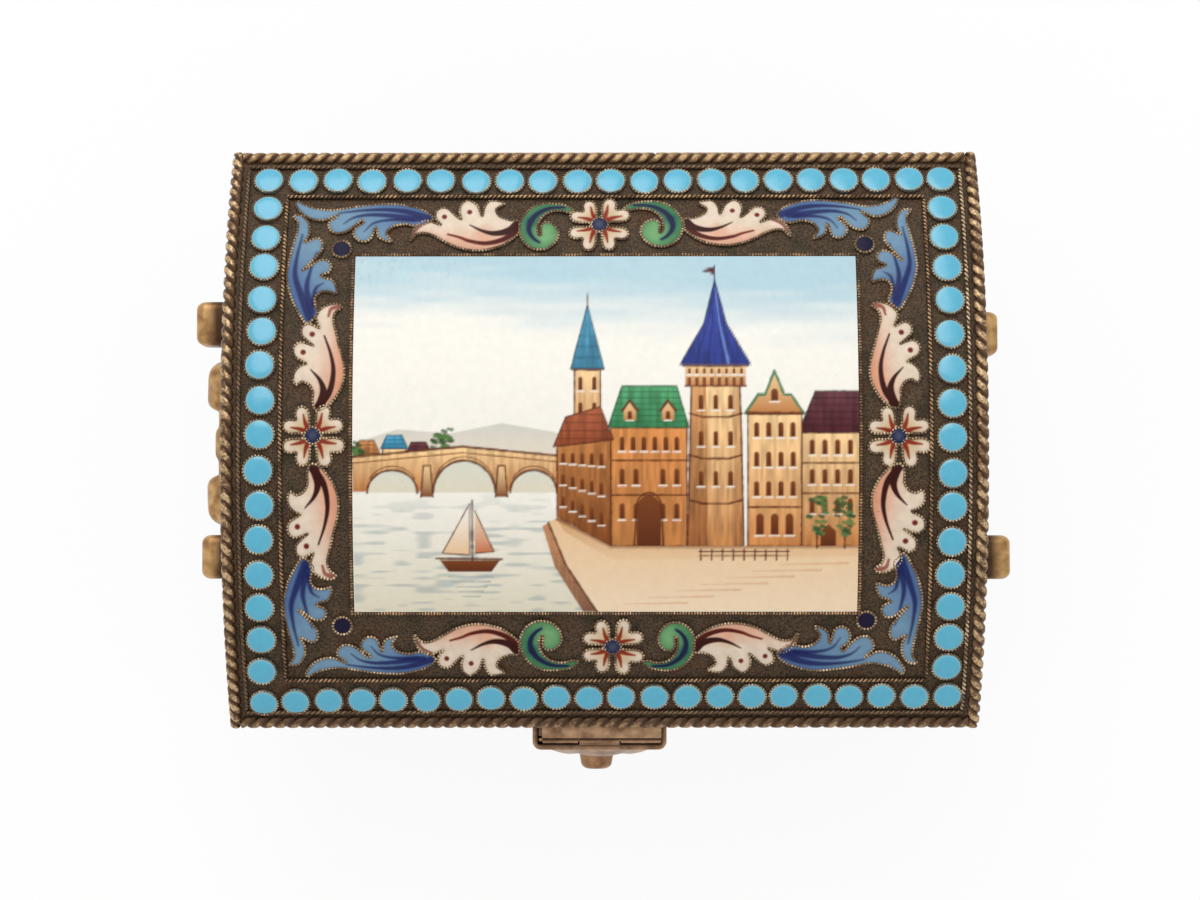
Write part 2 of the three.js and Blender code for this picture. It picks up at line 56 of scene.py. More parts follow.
# Sizes shared with the part
HALF_LENGTH = 43.0
HALF_DEPTH = 33.0
SEAM = 42.0
VAULT_RADIUS = 56.511
VAULT_CENTRE = 0.089
VAULT_SHEET = 1.2
VAULT_HALF_X = 43.4
VAULT_HALF_Y = 33.4
MEASURE_RADIUS = 57.05
ROPE_RADIUS = 0.8
ROPE_PITCH = 3.1
GROOVE = 0.34
GROOVE_SHARPNESS = 6
LEFT_STRAY = 0.3
LID_ROPE_Y = 33.5
LID_ROPE_Z = 45.6
LID_ROPE_HALF_X = 42.9
SIDE_ROPE_X = 43.5
SIDE_ROPE_RADIUS = 56.3
SIDE_ROPE_END_Y = 33.88
FOOT_ROPE_X = 43.9
FOOT_ROPE_Y = 33.9
FOOT_ROPE_Z = 2.1
FOOT_ROPE_GAP = 0.2

# Lid layout: x to the right, s along the curve to the back
OUTER_WIRE = (42.1, 34.6)
OUTER_PITCH = 1.19
INNER_WIRE = (37.6, 30.0)
INNER_PITCH = 1.02
# Rows of beads: first and last bead, how far the row bows, how many, and half a bead's size
BEAD_ROWS = {
    "back": ((-40.0, 32.5), (39.9, 32.75), (0.7, -0.25), 21, (1.7, 1.8)),
    "front": ((-40.35, -33.15), (40.15, -32.25), (0.05, 0.3), 22, (1.64, 1.67)),
    "left": ((-39.9, 28.3), (-40.35, -28.7), (0.1, 0.2), 15, (1.7, 1.7)),
    "right": ((39.75, 28.4), (39.9, -28.2), (0.25, -0.5), 15, (1.7, 1.7)),
}
# Dome of a bead: share of its size, then height
BEAD_EDGE = 0.36
BEAD_DOME = [(1, 0.02), (1, BEAD_EDGE), (0.94, 0.45), (0.8, 0.51), (0.55, 0.54), (0.25, 0.56)]
BEAD_PALE = 0.78
BEAD_STRAY = 0.1
RIM_GAP = 0.03
RIM_WIRE = 0.15
RIM_SWELL = (1.0, 0.85, 0.4, 0.85)
FINE_WIRE = 0.27
CELL_WIRE = 0.2
GRAIN_PITCH = 0.38
GRAIN_SWELL = (1.0, 0.85, 0.66, 0.85)
GRAIN_SIDES = 5
CELL_LIFT = 0.22
SEAT = 0.02
PLAQUE_HALF_X = 29.2
PLAQUE_FRONT = -20.9
PLAQUE_BACK = 21.5
PLAQUE_TOP = 0.6
BEZEL_WIRE = 0.22
BEZEL_PITCH = 0.34
BEZEL_GAP = (0.25, 0.22)
BEZEL_LIFT = 0.55

# How finely the shapes are divided
VAULT_STEPS = (61, 49)
PLAQUE_COLUMNS = 401
PLAQUE_ROWS = (199, 43)
BEAD_SIDES = 28
RIM_STEPS = 48
ROPE_RINGS = 20
FOOT_RINGS = 12
FINE_RINGS = 8
KNUCKLE_SIDES = 20
KNOB_SIDES = 40
BAIL_SIDES = 24
BAIL_RINGS = 220
EYE_SIDES = 36


# Small tools
def srgb(*parts):
    """Linear colour of an 8-bit screen colour."""
    part = np.array(parts) / 255
    return np.where(part <= 0.04045, part / 12.92, ((part + 0.055) / 1.055) ** 2.4)


def ease(low, high, value):
    """Soft step from 0 at low to 1 at high."""
    part = np.clip((value - low) / (high - low), 0, 1)
    return part * part * (3 - 2 * part)


def unit(vectors):
    return vectors / np.linalg.norm(vectors, axis=-1, keepdims=True)


def circle(radius, count):
    turn = np.arange(count) * 2 * np.pi / count
    return np.stack([radius * np.cos(turn), radius * np.sin(turn)], -1)


def closing(line):
    """The line with its first point again at the end."""
    return np.concatenate([line, line[:1]])


def grain(u, v, size, seed):
    """Soft random values from 0 to 1 over a plane, with blotches of the given size."""
    cells = np.random.default_rng(SEED + seed).random((64, 64))
    a, b = u / size, v / size
    i, j = np.floor(a).astype(int), np.floor(b).astype(int)
    p, q = ease(0, 1, a - i), ease(0, 1, b - j)
    i, j, k, m = i % 64, j % 64, (i + 1) % 64, (j + 1) % 64
    low = cells[i, j] * (1 - p) + cells[k, j] * p
    high = cells[i, m] * (1 - p) + cells[k, m] * p
    return low * (1 - q) + high * q


def smooth_line(knots, closed, samples=10):
    """Curve through knots, with the pace set by the gaps between them."""
    knots = np.asarray(knots, float)
    if closed:
        ring = np.concatenate([knots[-1:], knots, knots[:2]])
    else:
        ring = np.concatenate([2 * knots[:1] - knots[1:2], knots, 2 * knots[-1:] - knots[-2:-1]])
    pieces = []
    for a, b, c, d in zip(ring, ring[1:], ring[2:], ring[3:]):
        first, second, third = np.cumsum([math.sqrt(np.linalg.norm(step)) for step in (b - a, c - b, d - c)])
        t = np.linspace(first, second, samples, endpoint=False)[:, None]
        ab = a + (b - a) * t / first
        bc = b + (c - b) * (t - first) / (second - first)
        cd = c + (d - c) * (t - second) / (third - second)
        abc = ab + (bc - ab) * t / second
        bcd = bc + (cd - bc) * (t - first) / (third - first)
        pieces.append(abc + (bcd - abc) * (t - first) / (second - first))
    if not closed:
        pieces.append(knots[-1:])
    return np.concatenate(pieces)


def steps_of(line):
    return np.linalg.norm(np.diff(line, axis=0), axis=1)


def line_length(line, closed=False):
    return steps_of(closing(line) if closed else line).sum()


def even_steps(line, count, closed=False):
    """The same line with count equal steps."""
    line = closing(line) if closed else line
    along = np.concatenate([[0], np.cumsum(steps_of(line))])
    wanted = np.linspace(0, along[-1], count + 1)
    if closed:
        wanted = wanted[:-1]
    return np.stack([np.interp(wanted, along, axis) for axis in line.T], -1)


def gap_to_line(points, line):
    """Distance of each point from a line, and how far along the line it is met."""
    best, place = np.full(len(points), np.inf), np.zeros(len(points))
    for n, (a, b) in enumerate(zip(line[:-1], line[1:])):
        step = b - a
        t = np.clip(((points - a) @ step) / (step @ step), 0, 1)
        gap = np.linalg.norm(points - a - t[:, None] * step, axis=1)
        nearer = gap < best
        best[nearer] = gap[nearer]
        place[nearer] = (n + t[nearer]) / (len(line) - 1)
    return best, place


def inside_loop(points, loop):
    """True where a point lies inside a closed loop."""
    a, b = loop, np.roll(loop, -1, 0)
    x, y = points[:, :1], points[:, 1:]
    spans = (a[:, 1] > y) != (b[:, 1] > y)
    rise = np.where(b[:, 1] == a[:, 1], 1e-9, b[:, 1] - a[:, 1])
    crossing = a[:, 0] + (y - a[:, 1]) * (b[:, 0] - a[:, 0]) / rise
    return (spans & (x < crossing)).sum(1) % 2 == 1


def brush(points, knots, wide, thin, soft):
    """Cover from 0 to 1 of a stroke that runs from wide to thin, or of a round dab at a single knot."""
    if len(knots) == 1:
        return ease(wide, thin, np.hypot(*(points - knots[0]).T))
    gap, place = gap_to_line(points, smooth_line(knots, False, 6))
    return ease(soft, -soft, gap - (wide + (thin - wide) * place) / 2)


def lay_colour(base, colour, cover):
    return base + (colour - base) * cover[:, None]


# Panels: each turns places on a face and a height above it into points
def point(x, y, z):
    return np.stack(np.broadcast_arrays(x, y, z), -1).astype(float)


def on_lid(p, h):
    turn = p[:, 1] / MEASURE_RADIUS
    radius = VAULT_RADIUS + h
    return point(p[:, 0], radius * np.sin(turn), VAULT_CENTRE + radius * np.cos(turn))


def on_front(p, h):
    return point(p[:, 0], -HALF_DEPTH - h, p[:, 1])


def on_back(p, h):
    return point(-p[:, 0], HALF_DEPTH + h, p[:, 1])


def on_left(p, h):
    return point(-HALF_LENGTH - h, -p[:, 0], p[:, 1])


def on_right(p, h):
    return point(HALF_LENGTH + h, p[:, 0], p[:, 1])


# Meshes
class Shape:
    """Points and faces of one piece, with a tint at each point: a value for wear and painted shade, or a
    colour.
    """

    def __init__(self):
        self.points, self.tints, self.faces, self.kinds = [], [], [], []
        self.count = 0

    def add(self, points, faces, tint, kinds=(0, 0, 0, 0, 0)):
        points = np.asarray(points, float).reshape(-1, 3)
        tint = np.asarray(tint, float)
        tint = tint if tint.ndim == 2 else tint[..., None]
        self.points.append(points)
        self.tints.append(np.broadcast_to(tint, (len(points), 3)))
        for block, kind in zip(faces, kinds):
            self.faces.append(np.asarray(block, int) + self.count)
            self.kinds.append(np.full(len(block), kind))
        self.count += len(points)

    def piece(self, name, body, slot, materials, instead=()):
        """Makes the mesh, sets it on its body and hides the parts it stands for."""
        points, tints = np.concatenate(self.points) * MM, np.concatenate(self.tints)
        corners = np.concatenate([block.ravel() for block in self.faces])
        sizes = np.concatenate([np.full(len(block), block.shape[1]) for block in self.faces])
        mesh = bpy.data.meshes.new(name)
        mesh.vertices.add(len(points))
        mesh.vertices.foreach_set("co", points.ravel())
        mesh.loops.add(len(corners))
        mesh.loops.foreach_set("vertex_index", corners)
        mesh.polygons.add(len(sizes))
        mesh.polygons.foreach_set("loop_start", np.cumsum(sizes) - sizes)
        mesh.update(calc_edges=True)
        mesh.polygons.foreach_set("material_index", np.concatenate(self.kinds))
        layer = mesh.color_attributes.new("tint", "FLOAT_COLOR", "POINT")
        layer.data.foreach_set("color", np.insert(tints, 3, 1, axis=1).ravel())
        mesh.shade_smooth()
        mesh.set_sharp_from_angle(angle=CREASE)
        for material in materials:
            mesh.materials.append(material)
        made = bpy.data.objects.new(name, mesh)
        bpy.context.scene.collection.objects.link(made)
        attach(made, body)
        if instead:
            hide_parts(*instead)


def ring_quads(rings, sides, closed=False, wrap=True):
    """Quads between neighbouring rings of points."""
    i = np.arange(rings if closed else rings - 1)[:, None]
    j = np.arange(sides if wrap else sides - 1)
    here, after, side = i * sides, (i + 1) % rings * sides, (j + 1) % sides
    return np.stack([here + j, here + side, after + side, after + j], -1).reshape(-1, 4)


def tube_faces(rings, sides):
    """Quads between rings, and a face at each end."""
    end = np.arange(sides)[None]
    return [ring_quads(rings, sides), end[:, ::-1], end + (rings - 1) * sides]


def skirt(upper, lower):
    """Quads between two closed rows of points."""
    return np.stack([upper, lower, np.roll(lower, -1), np.roll(upper, -1)], -1)


def grid(x, s):
    """Points of a grid, its quads, and the numbers of its border points in order."""
    flat = np.stack(np.meshgrid(x, s), -1).reshape(-1, 2)
    number = np.arange(len(flat)).reshape(len(s), len(x))
    border = np.concatenate([number[0], number[1:, -1], number[-1, -2::-1], number[-2:0:-1, 0]])
    return flat, ring_quads(len(s), len(x), False, False), border


def lathe(shape, profile, sides, place, tint):
    """Turned shape from (radius, height) pairs, closed at both ends."""
    rings = [place(circle(radius, sides), height) for radius, height in profile]
    shape.add(np.concatenate(rings), tube_faces(len(rings), sides), tint)


def sweep(shape, path, out, outline, wear_and_shade, closed=False, turn=0.0):
    """Moves an outline along a path, turning it as it goes, with a lighter tint where it faces out and a
    darker one facing away: wear with painted light and shade.
    """
    along = np.roll(path, -1, 0) - np.roll(path, 1, 0)
    if not closed:
        along[0], along[-1] = path[1] - path[0], path[-1] - path[-2]
    along = unit(along)
    out = unit(out - (out * along).sum(1, keepdims=True) * along)
    side = np.cross(along, out)
    a = outline[..., 0] * np.cos(turn) - outline[..., 1] * np.sin(turn)
    b = outline[..., 0] * np.sin(turn) + outline[..., 1] * np.cos(turn)
    points = path[:, None] + a[..., None] * out[:, None] + b[..., None] * side[:, None]
    faces = [ring_quads(*a.shape, True)] if closed else tube_faces(*a.shape)
    share, low, start, end = wear_and_shade
    # painted light and shade: the tint is lighter on the side facing out, darker on the side facing away
    facing = ease(start, end, a / np.hypot(a, b))
    shape.add(points, faces, (share * (low + (1 - low) * facing)).ravel())


def strands(sides):
    """Outline of two strands laid together, 1 from the middle to the edge, with a groove between them."""
    edge = circle(1, 2 * sides)
    return edge * (1 - GROOVE * edge[:, 1:] ** GROOVE_SHARPNESS)


# Wear and painted shade: share on the sides of a strand, then share, start and end of the side that faces
# out
SIDE_WEAR_AND_SHADE = 0.55
TWIST_WEAR_AND_SHADE = (0.15, -0.2, 0.95)
# grained wire: share between the grains, as painted shade, then share, start and end of the side that faces
# out
GROOVE_WEAR_AND_SHADE = 0.3
GRAIN_WEAR_AND_SHADE = (0.3, -0.4, 0.8)
ROPE_OUTLINE = strands(10)
WIRE_OUTLINE = strands(6)


def twisted(shape, path, out, radius, pitch, outline):
    """Left-hand twisted wire along evenly spaced points."""
    step = line_length(path) / (len(path) - 1)
    turn = -2 * np.pi * np.arange(len(path)) * step / pitch
    # tint darker in the groove and on the strand's sides: patina and painted shade
    reach = np.linalg.norm(outline, axis=1)
    crest = np.abs(outline[:, 0]) / reach
    high = ease(reach.min(), 1, reach) * (SIDE_WEAR_AND_SHADE + (1 - SIDE_WEAR_AND_SHADE) * crest)
    sweep(shape, path, out, outline * radius, (high, *TWIST_WEAR_AND_SHADE), False, turn[:, None])


def raised(panel, flat, lift):
    """Points over a line on a panel, and the way out at each."""
    path = panel(flat, lift)
    return path, panel(flat, lift + 1) - path


def lay_wire(shape, panel, ends, pitch):
    """Fine twisted wire between two places on a panel, in a whole number of half turns."""
    ends = np.array(ends, float)
    halves = max(2, round(2 * line_length(ends) / pitch))
    path, out = raised(panel, even_steps(ends, halves * FINE_RINGS // 2), FINE_WIRE)
    twisted(shape, path, out, FINE_WIRE, 2 * line_length(path) / halves, WIRE_OUTLINE)


def lay_grains(shape, panel, line, lift, radius, pitch=GRAIN_PITCH, swell=GRAIN_SWELL):
    """Wire with grains along it round a closed line, bright on the grains and dark between them and on the
    sides facing away: painted shade.
    """
    line = np.asarray(line, float)
    count = max(6, round(line_length(line, True) / pitch))
    path, out = raised(panel, even_steps(line, count * len(swell), True), lift)
    swell = np.tile(swell, count)
    outline = circle(radius, GRAIN_SIDES) * swell[:, None, None]
    # painted shade between the grains
    share = GROOVE_WEAR_AND_SHADE + (1 - GROOVE_WEAR_AND_SHADE) * ease(0.65, 1.0, swell)[:, None]
    sweep(shape, path, out, outline, (share, *GRAIN_WEAR_AND_SHADE), True)


# Materials
def feed(tree, node, inputs):
    """Gives each input a value or another node's output."""
    for key, value in inputs.items():
        if isinstance(value, bpy.types.NodeSocket):
            tree.links.new(value, node.inputs[key])
        else:
            node.inputs[key].default_value = value


def add_node(tree, kind, inputs=None, **settings):
    made = tree.nodes.new("ShaderNode" + kind)
    for key, value in settings.items():
        setattr(made, key, value)
    feed(tree, made, inputs or {})
    return made


class Look:
    """One material, with short ways to make its nodes."""

    def __init__(self, name):
        self.material = bpy.data.materials.new(name)
        self.material.use_nodes = True
        self.tree = self.material.node_tree
        self.shader = self.tree.nodes["Principled BSDF"]

    def place(self):
        return add_node(self.tree, "TexCoord").outputs["Object"]

    def tint(self, output):
        return add_node(self.tree, "Attribute", attribute_name="tint").outputs[output]

    def noise(self, size, detail=3.0):
        """Noise over the piece's own place, with blotches of about the given size."""
        inputs = {"Vector": self.place(), "Scale": 1 / (size * MM), "Detail": detail}
        return add_node(self.tree, "TexNoise", inputs).outputs["Fac"]

    def ramp(self, source, *stops):
        """Colours at stops along a value."""
        made = add_node(self.tree, "ValToRGB", {"Fac": source})
        elements = made.color_ramp.elements
        while len(elements) < len(stops):
            elements.new(0.5)
        for element, (place, colour) in zip(elements, stops):
            element.position = place
            element.color = (*srgb(*colour), 1)
        return made.outputs["Color"]

    def mix(self, blend, factor, first, second):
        inputs = {"Factor": factor, "A": first, "B": second}
        return add_node(self.tree, "Mix", inputs, data_type="RGBA", blend_type=blend).outputs["Result"]

    def math(self, operation, first, second=0.0):
        return add_node(self.tree, "Math", {0: first, 1: second}, operation=operation).outputs[0]

    def span(self, source, low, high, start=0.0, end=1.0):
        """A value between start and end brought to the range from low to high."""
        inputs = {"Value": source, "From Min": start, "From Max": end, "To Min": low, "To Max": high}
        return add_node(self.tree, "MapRange", inputs).outputs["Result"]

    def bump(self, source, depth, strength):
        inputs = {"Height": source, "Distance": depth * MM, "Strength": strength}
        return add_node(self.tree, "Bump", inputs).outputs["Normal"]

    def finish(self, inputs):
        feed(self.tree, self.shader, inputs)
        return self.material


WHITE = (255, 255, 255)
GROUND_TONES = ((0.36, (46, 34, 24)), (0.64, (95, 75, 53)))
STAIN_TONES = ((0.3, (196, 206, 182)), (0.5, WHITE), (0.72, (255, 224, 198)))
GILT_DARK = (176, 132, 72)
GILT_LIGHT = (222, 182, 112)
WALL_SKIN = 1.15
FLOOR_SKIN = 0.6


def wire_metal(name, dark, middle, bright, rough=0.35):
    """Twisted wire: dark in the grooves and bright on the side facing out, from the tint, which holds
    patina, wear and painted light and shade, broken up in a grainy way.
    """
    look = Look(name)
    blotch, grit = look.noise(2.0), look.noise(0.3, 2.0)
    # the tint carries painted light and shade as well as wear
    worn_and_shaded = look.math("MULTIPLY", look.tint("Fac"), look.span(grit, 0.55, 1.25, 0.3, 0.7))
    worn_and_shaded = look.math("MULTIPLY", worn_and_shaded, look.span(blotch, 0.55, 1.15, 0.35, 0.65))
    return look.finish({
        "Metallic": 0.6,
        "Base Color": look.ramp(worn_and_shaded, (0.1, dark), (0.5, middle), (0.9, bright)),
        "Roughness": look.span(blotch, rough, rough + 0.2),
        "Normal": look.bump(grit, 0.05, 0.6),
    })


def ground_inputs(look):
    """Sheet ground, finely stippled and darkened with age."""
    stipple = look.noise(0.22, 2.0)
    speck = look.ramp(stipple, *GROUND_TONES)
    cloud = look.ramp(look.noise(3.5), *STAIN_TONES)
    return {
        "Metallic": 0.2,
        "Specular IOR Level": 0.3,
        "Base Color": look.mix("MULTIPLY", 1.0, speck, cloud),
        "Roughness": look.span(stipple, 0.5, 0.75),
        "Normal": look.bump(stipple, 0.1, 0.8),
    }


def ground_metal(name):
    look = Look(name)
    return look.finish(ground_inputs(look))


def wall_metal(name):
    """Stippled ground outside and clean gilding inside the box."""
    look = Look(name)
    inputs = ground_inputs(look)
    axes = add_node(look.tree, "SeparateXYZ", {0: look.place()}).outputs
    within = look.math("GREATER_THAN", axes["Z"], FLOOR_SKIN * MM)
    for axis, half in (("X", HALF_LENGTH), ("Y", HALF_DEPTH)):
        nearer = look.math("LESS_THAN", look.math("ABSOLUTE", axes[axis]), (half - WALL_SKIN) * MM)
        within = look.math("MULTIPLY", within, nearer)
    gilt = look.ramp(look.noise(5.0), (0.35, GILT_DARK), (0.65, GILT_LIGHT))
    inputs["Base Color"] = look.mix("MIX", within, inputs["Base Color"], gilt)
    return look.finish(inputs)


def cast_metal(name, dark, light, scale=1.6, patina_and_shade=None):
    """Smooth cast metal with worn blotches and fine scratches, and a dark patina colour where the tint is
    low, which stands for patina and for painted shade.
    """
    look = Look(name)
    blotch = look.noise(scale, 5.0)
    colour = look.ramp(blotch, (0.32, dark), (0.62, light))
    # patina and painted shade where the tint is low
    if patina_and_shade is not None:
        deep, thin = patina_and_shade
        colour = look.mix("MIX", look.tint("Fac"), look.ramp(blotch, (0.3, deep), (0.7, thin)), colour)
    return look.finish({
        "Metallic": 0.8,
        "Base Color": colour,
        "Roughness": look.span(blotch, 0.28, 0.48),
        "Normal": look.bump(look.noise(0.25), 0.03, 0.4),
    })


def enamel(name, rough, gloss, drift_tone, speck_size, speck_cover):
    """Fired enamel: the painted colour with a slight drift and fine dark specks under the gloss."""
    look = Look(name)
    drift = look.noise(0.9)
    shade = look.ramp(drift, (0.25, drift_tone), (0.75, WHITE))
    colour = look.mix("MULTIPLY", 1.0, look.tint("Color"), shade)
    specks = look.ramp(look.noise(speck_size, 1.0), (0.74, WHITE), (0.8, (150, 140, 135)))
    return look.finish({
        "Specular IOR Level": gloss,
        "Base Color": look.mix("MULTIPLY", speck_cover, colour, specks),
        "Roughness": look.span(drift, rough, rough + 0.1),
        "Normal": look.bump(look.noise(1.4, 1.0), 0.06, 0.35),
    })


# copies of one rope gilt: the back rope's lighter copy is painted light, the front rope's darker copy is
# painted shade
ROPE_METAL = wire_metal("rope_gilt", (86, 61, 41), (106, 78, 52), (204, 172, 130), 0.25)
LIT_BACK_ROPE_METAL = wire_metal("lit_back_rope_gilt", (82, 58, 40), (134, 103, 70), (188, 156, 114))
SHADED_FRONT_ROPE_METAL = wire_metal("shaded_front_rope_gilt", (84, 61, 42), (96, 71, 49), (166, 134, 98))
OUTER_METAL = wire_metal("outer_wire_gilt", (76, 58, 42), (92, 72, 52), (138, 110, 81))
FINE_METAL = wire_metal("fine_wire_gilt", (46, 34, 24), (96, 72, 49), (196, 156, 114))
RIM_METAL = wire_metal("rim_gilt", (56, 41, 29), (124, 100, 76), (220, 198, 166))
CELL_METAL = wire_metal("cell_wire_gilt", (62, 46, 32), (126, 101, 75), (222, 196, 160))
GROUND = ground_metal("stippled_ground")
WALLS = wall_metal("wall_sheet")
GILT = cast_metal("gilt_inside", GILT_DARK, GILT_LIGHT, 5.0)
CAST = cast_metal("cast_gilt", (122, 88, 54), (200, 158, 104))
# the dark colour pairs of the handle and clasp are patina and painted shade
HANDLE = cast_metal("handle_gilt", (150, 108, 66), (208, 166, 110), 1.6, ((65, 43, 26), (84, 56, 36)))
CLASP = cast_metal("clasp_gilt", (122, 90, 66), (190, 152, 118), 1.6, ((57, 38, 25), (74, 50, 34)))
KNOB = cast_metal("knob_gilt", (116, 80, 54), (184, 141, 102))
TURQUOISE = enamel("turquoise_enamel", 0.16, 0.7, (244, 244, 246), 0.25, 0.25)
CELL_ENAMEL = enamel("cell_enamel", 0.3, 0.12, (238, 236, 234), 0.3, 0.4)
PICTURE = enamel("picture_enamel", 0.2, 0.15, (250, 250, 250), 0.35, 0.2)


# Enamel cells: outlines drawn on the lid's back right quarter, x then s
WHITE_LEAF = [
    (9.25, 26.8), (10.4, 26.9), (11.6, 27.5), (11.9, 28.3), (11.0, 29.1), (11.8, 29.4), (12.7, 29.36),
    (13.24, 28.6), (13.5, 27.4), (14.1, 28.8), (14.7, 29.3), (15.2, 29.5), (15.9, 29.0), (16.1, 28.0),
    (15.9, 27.0), (16.6, 27.5), (17.3, 28.24), (17.8, 28.5), (18.6, 28.3), (18.9, 27.8), (18.8, 27.1),
    (18.2, 26.3), (19.0, 26.56), (19.9, 26.9), (20.8, 26.5), (21.4, 25.7), (21.7, 24.4), (21.0, 25.2),
    (20.2, 25.36), (19.0, 25.0), (17.8, 24.3), (16.6, 23.7), (15.2, 23.3), (13.8, 23.2), (12.4, 23.4),
    (11.0, 23.9), (10.0, 24.6), (9.3, 25.3), (9.2, 26.1),
]
BLUE_LEAF = [
    (20.2, 27.4), (21.0, 28.4), (23.4, 29.36), (25.2, 29.5), (28.0, 29.16), (30.8, 28.6), (32.6, 28.9),
    (33.8, 29.5), (34.4, 29.96), (34.6, 29.6), (34.1, 28.5), (33.4, 27.7), (32.4, 27.2), (31.4, 27.2),
    (30.1, 27.9), (30.5, 27.3), (31.0, 26.8), (30.9, 25.9), (30.3, 25.3), (29.4, 25.4), (28.7, 25.9),
    (27.6, 27.1), (27.4, 26.7), (28.0, 26.2), (28.4, 25.4), (28.1, 24.5), (27.4, 24.1), (26.7, 24.4),
    (26.4, 25.2), (26.1, 26.2), (25.8, 24.8), (25.2, 24.3), (24.4, 24.1), (24.8, 24.7), (25.0, 25.2),
    (24.7, 25.9), (24.0, 26.4), (23.0, 26.56), (22.0, 26.3), (21.3, 26.3), (20.5, 26.9),
]
SIDE_WHITE_LEAF = [
    (31.0, 15.45), (31.75, 15.75), (32.75, 15.5), (33.5, 15.0), (33.95, 14.25), (33.75, 13.5), (33.5, 12.75),
    (34.1, 13.0), (34.75, 13.3), (35.45, 12.9), (35.5, 12.0), (35.0, 11.4), (34.1, 10.6), (34.9, 10.9),
    (35.75, 11.05), (36.4, 10.4), (36.25, 9.4), (35.5, 8.9), (34.9, 8.5), (35.55, 8.25), (36.2, 7.6),
    (36.4, 6.75), (36.1, 6.05), (35.4, 6.4), (34.6, 6.1), (34.1, 5.25), (34.1, 4.0), (33.75, 3.05),
    (32.75, 3.25), (32.0, 4.0), (31.25, 5.0), (30.7, 6.25), (30.55, 7.75), (30.8, 9.25), (31.25, 10.75),
    (31.6, 12.25), (31.95, 13.75), (31.7, 14.75), (31.1, 15.2),
]
SIDE_BLUE_LEAF = [
    (34.1, 14.9), (34.9, 16.0), (35.6, 17.3), (36.1, 18.8), (36.4, 20.3), (36.3, 21.8), (35.8, 24.6),
    (35.5, 26.0), (35.5, 27.3), (36.0, 28.1), (35.4, 28.2), (34.6, 27.6), (34.2, 26.5), (34.3, 25.4),
    (34.7, 24.6), (34.0, 24.9), (33.3, 25.2), (32.8, 24.75), (32.75, 23.75), (33.4, 22.75), (34.75, 21.1),
    (34.1, 21.5), (33.1, 22.3), (32.25, 22.4), (31.7, 21.75), (31.9, 21.0), (32.75, 20.55), (32.25, 20.2),
    (31.5, 19.95), (31.1, 19.25), (31.05, 18.4), (31.75, 18.6), (32.6, 18.6), (33.25, 18.0), (33.25, 17.0),
    (32.9, 16.0), (33.4, 15.4),
]
SCROLL = [
    (2.14, 28.2), (2.57, 28.7), (3.43, 29.14), (4.43, 29.3), (5.7, 29.36), (7.0, 29.07), (8.0, 28.36),
    (8.7, 27.4), (9.1, 26.3), (9.07, 25.1), (8.64, 24.1), (7.86, 23.36), (6.86, 23.0), (5.7, 23.1),
    (4.86, 23.64), (4.3, 24.4), (4.17, 25.3), (4.5, 26.07), (5.14, 26.57), (5.86, 26.67), (6.35, 26.2),
    (6.4, 24.8), (6.75, 25.0), (6.86, 26.0), (6.64, 26.86), (6.14, 27.57), (5.43, 28.07), (4.57, 28.3),
    (3.7, 28.3), (2.86, 28.07),
]
PETAL = [
    (0.8, -0.35), (1.4, -0.85), (2.05, -1.5), (2.7, -1.85), (3.3, -1.75), (3.65, -1.2), (3.45, -0.6),
    (2.8, 0.0), (3.45, 0.6), (3.65, 1.2), (3.3, 1.75), (2.7, 1.85), (2.05, 1.5), (1.4, 0.85), (0.8, 0.35),
]

# Where each cell lies: x from root side to tip side, then s from the plaque side to the outer side
WHITE_LEAF_BOXES = [
    (9.2, 21.7, 23.2, 29.5), (-10.1, -22.9, 22.5, 29.5),
    (10.2, 22.4, -22.5, -29.0), (-10.1, -22.4, -22.6, -29.4),
]
BLUE_LEAF_BOXES = [
    (20.2, 34.6, 24.1, 29.96), (-20.3, -36.6, 23.7, 29.4),
    (20.0, 35.0, -22.9, -29.2), (-19.9, -35.2, -24.2, -29.55),
]
SIDE_WHITE_LEAF_BOXES = [
    (30.55, 36.4, 3.05, 15.75), (-30.2, -36.15, 2.8, 15.6),
    (30.7, 36.9, -3.4, -16.2), (-30.85, -36.75, -3.4, -17.0),
]
SIDE_BLUE_LEAF_BOXES = [
    (31.05, 36.4, 14.9, 28.2), (-31.3, -37.2, 13.2, 27.4),
    (31.4, 36.8, -13.9, -27.8), (-31.8, -37.5, -14.4, -28.0),
]
SCROLL_BOXES = [
    (2.14, 9.1, 23.0, 29.36), (-3.7, -10.1, 22.6, 29.05),
    (4.4, 10.4, -22.4, -28.7), (-3.2, -10.0, -22.2, -28.7),
]
FLOWERS = [(-0.7, 26.0), (0.8, -25.5), (-33.8, -0.1), (33.8, -0.2)]
CORNER_DOTS = [(-30.9, 22.7), (30.4, 23.3), (-30.7, -22.8), (30.35, -22.15)]
CELL_STEP = 0.13
WALL_STEP = 0.28
CELL_EDGE = 0.26
EYE_EDGE = 0.34
PETAL_STRAY = 3
PETAL_SIZES = (0.92, 1.03)
CELL_DOME = 0.12
DOME_EASE = 0.4
EDGE_DARK = 0.45
EDGE_WIDTH = 0.14
ROW_SPACING = 0.87
EDGE_SPACING = 0.55

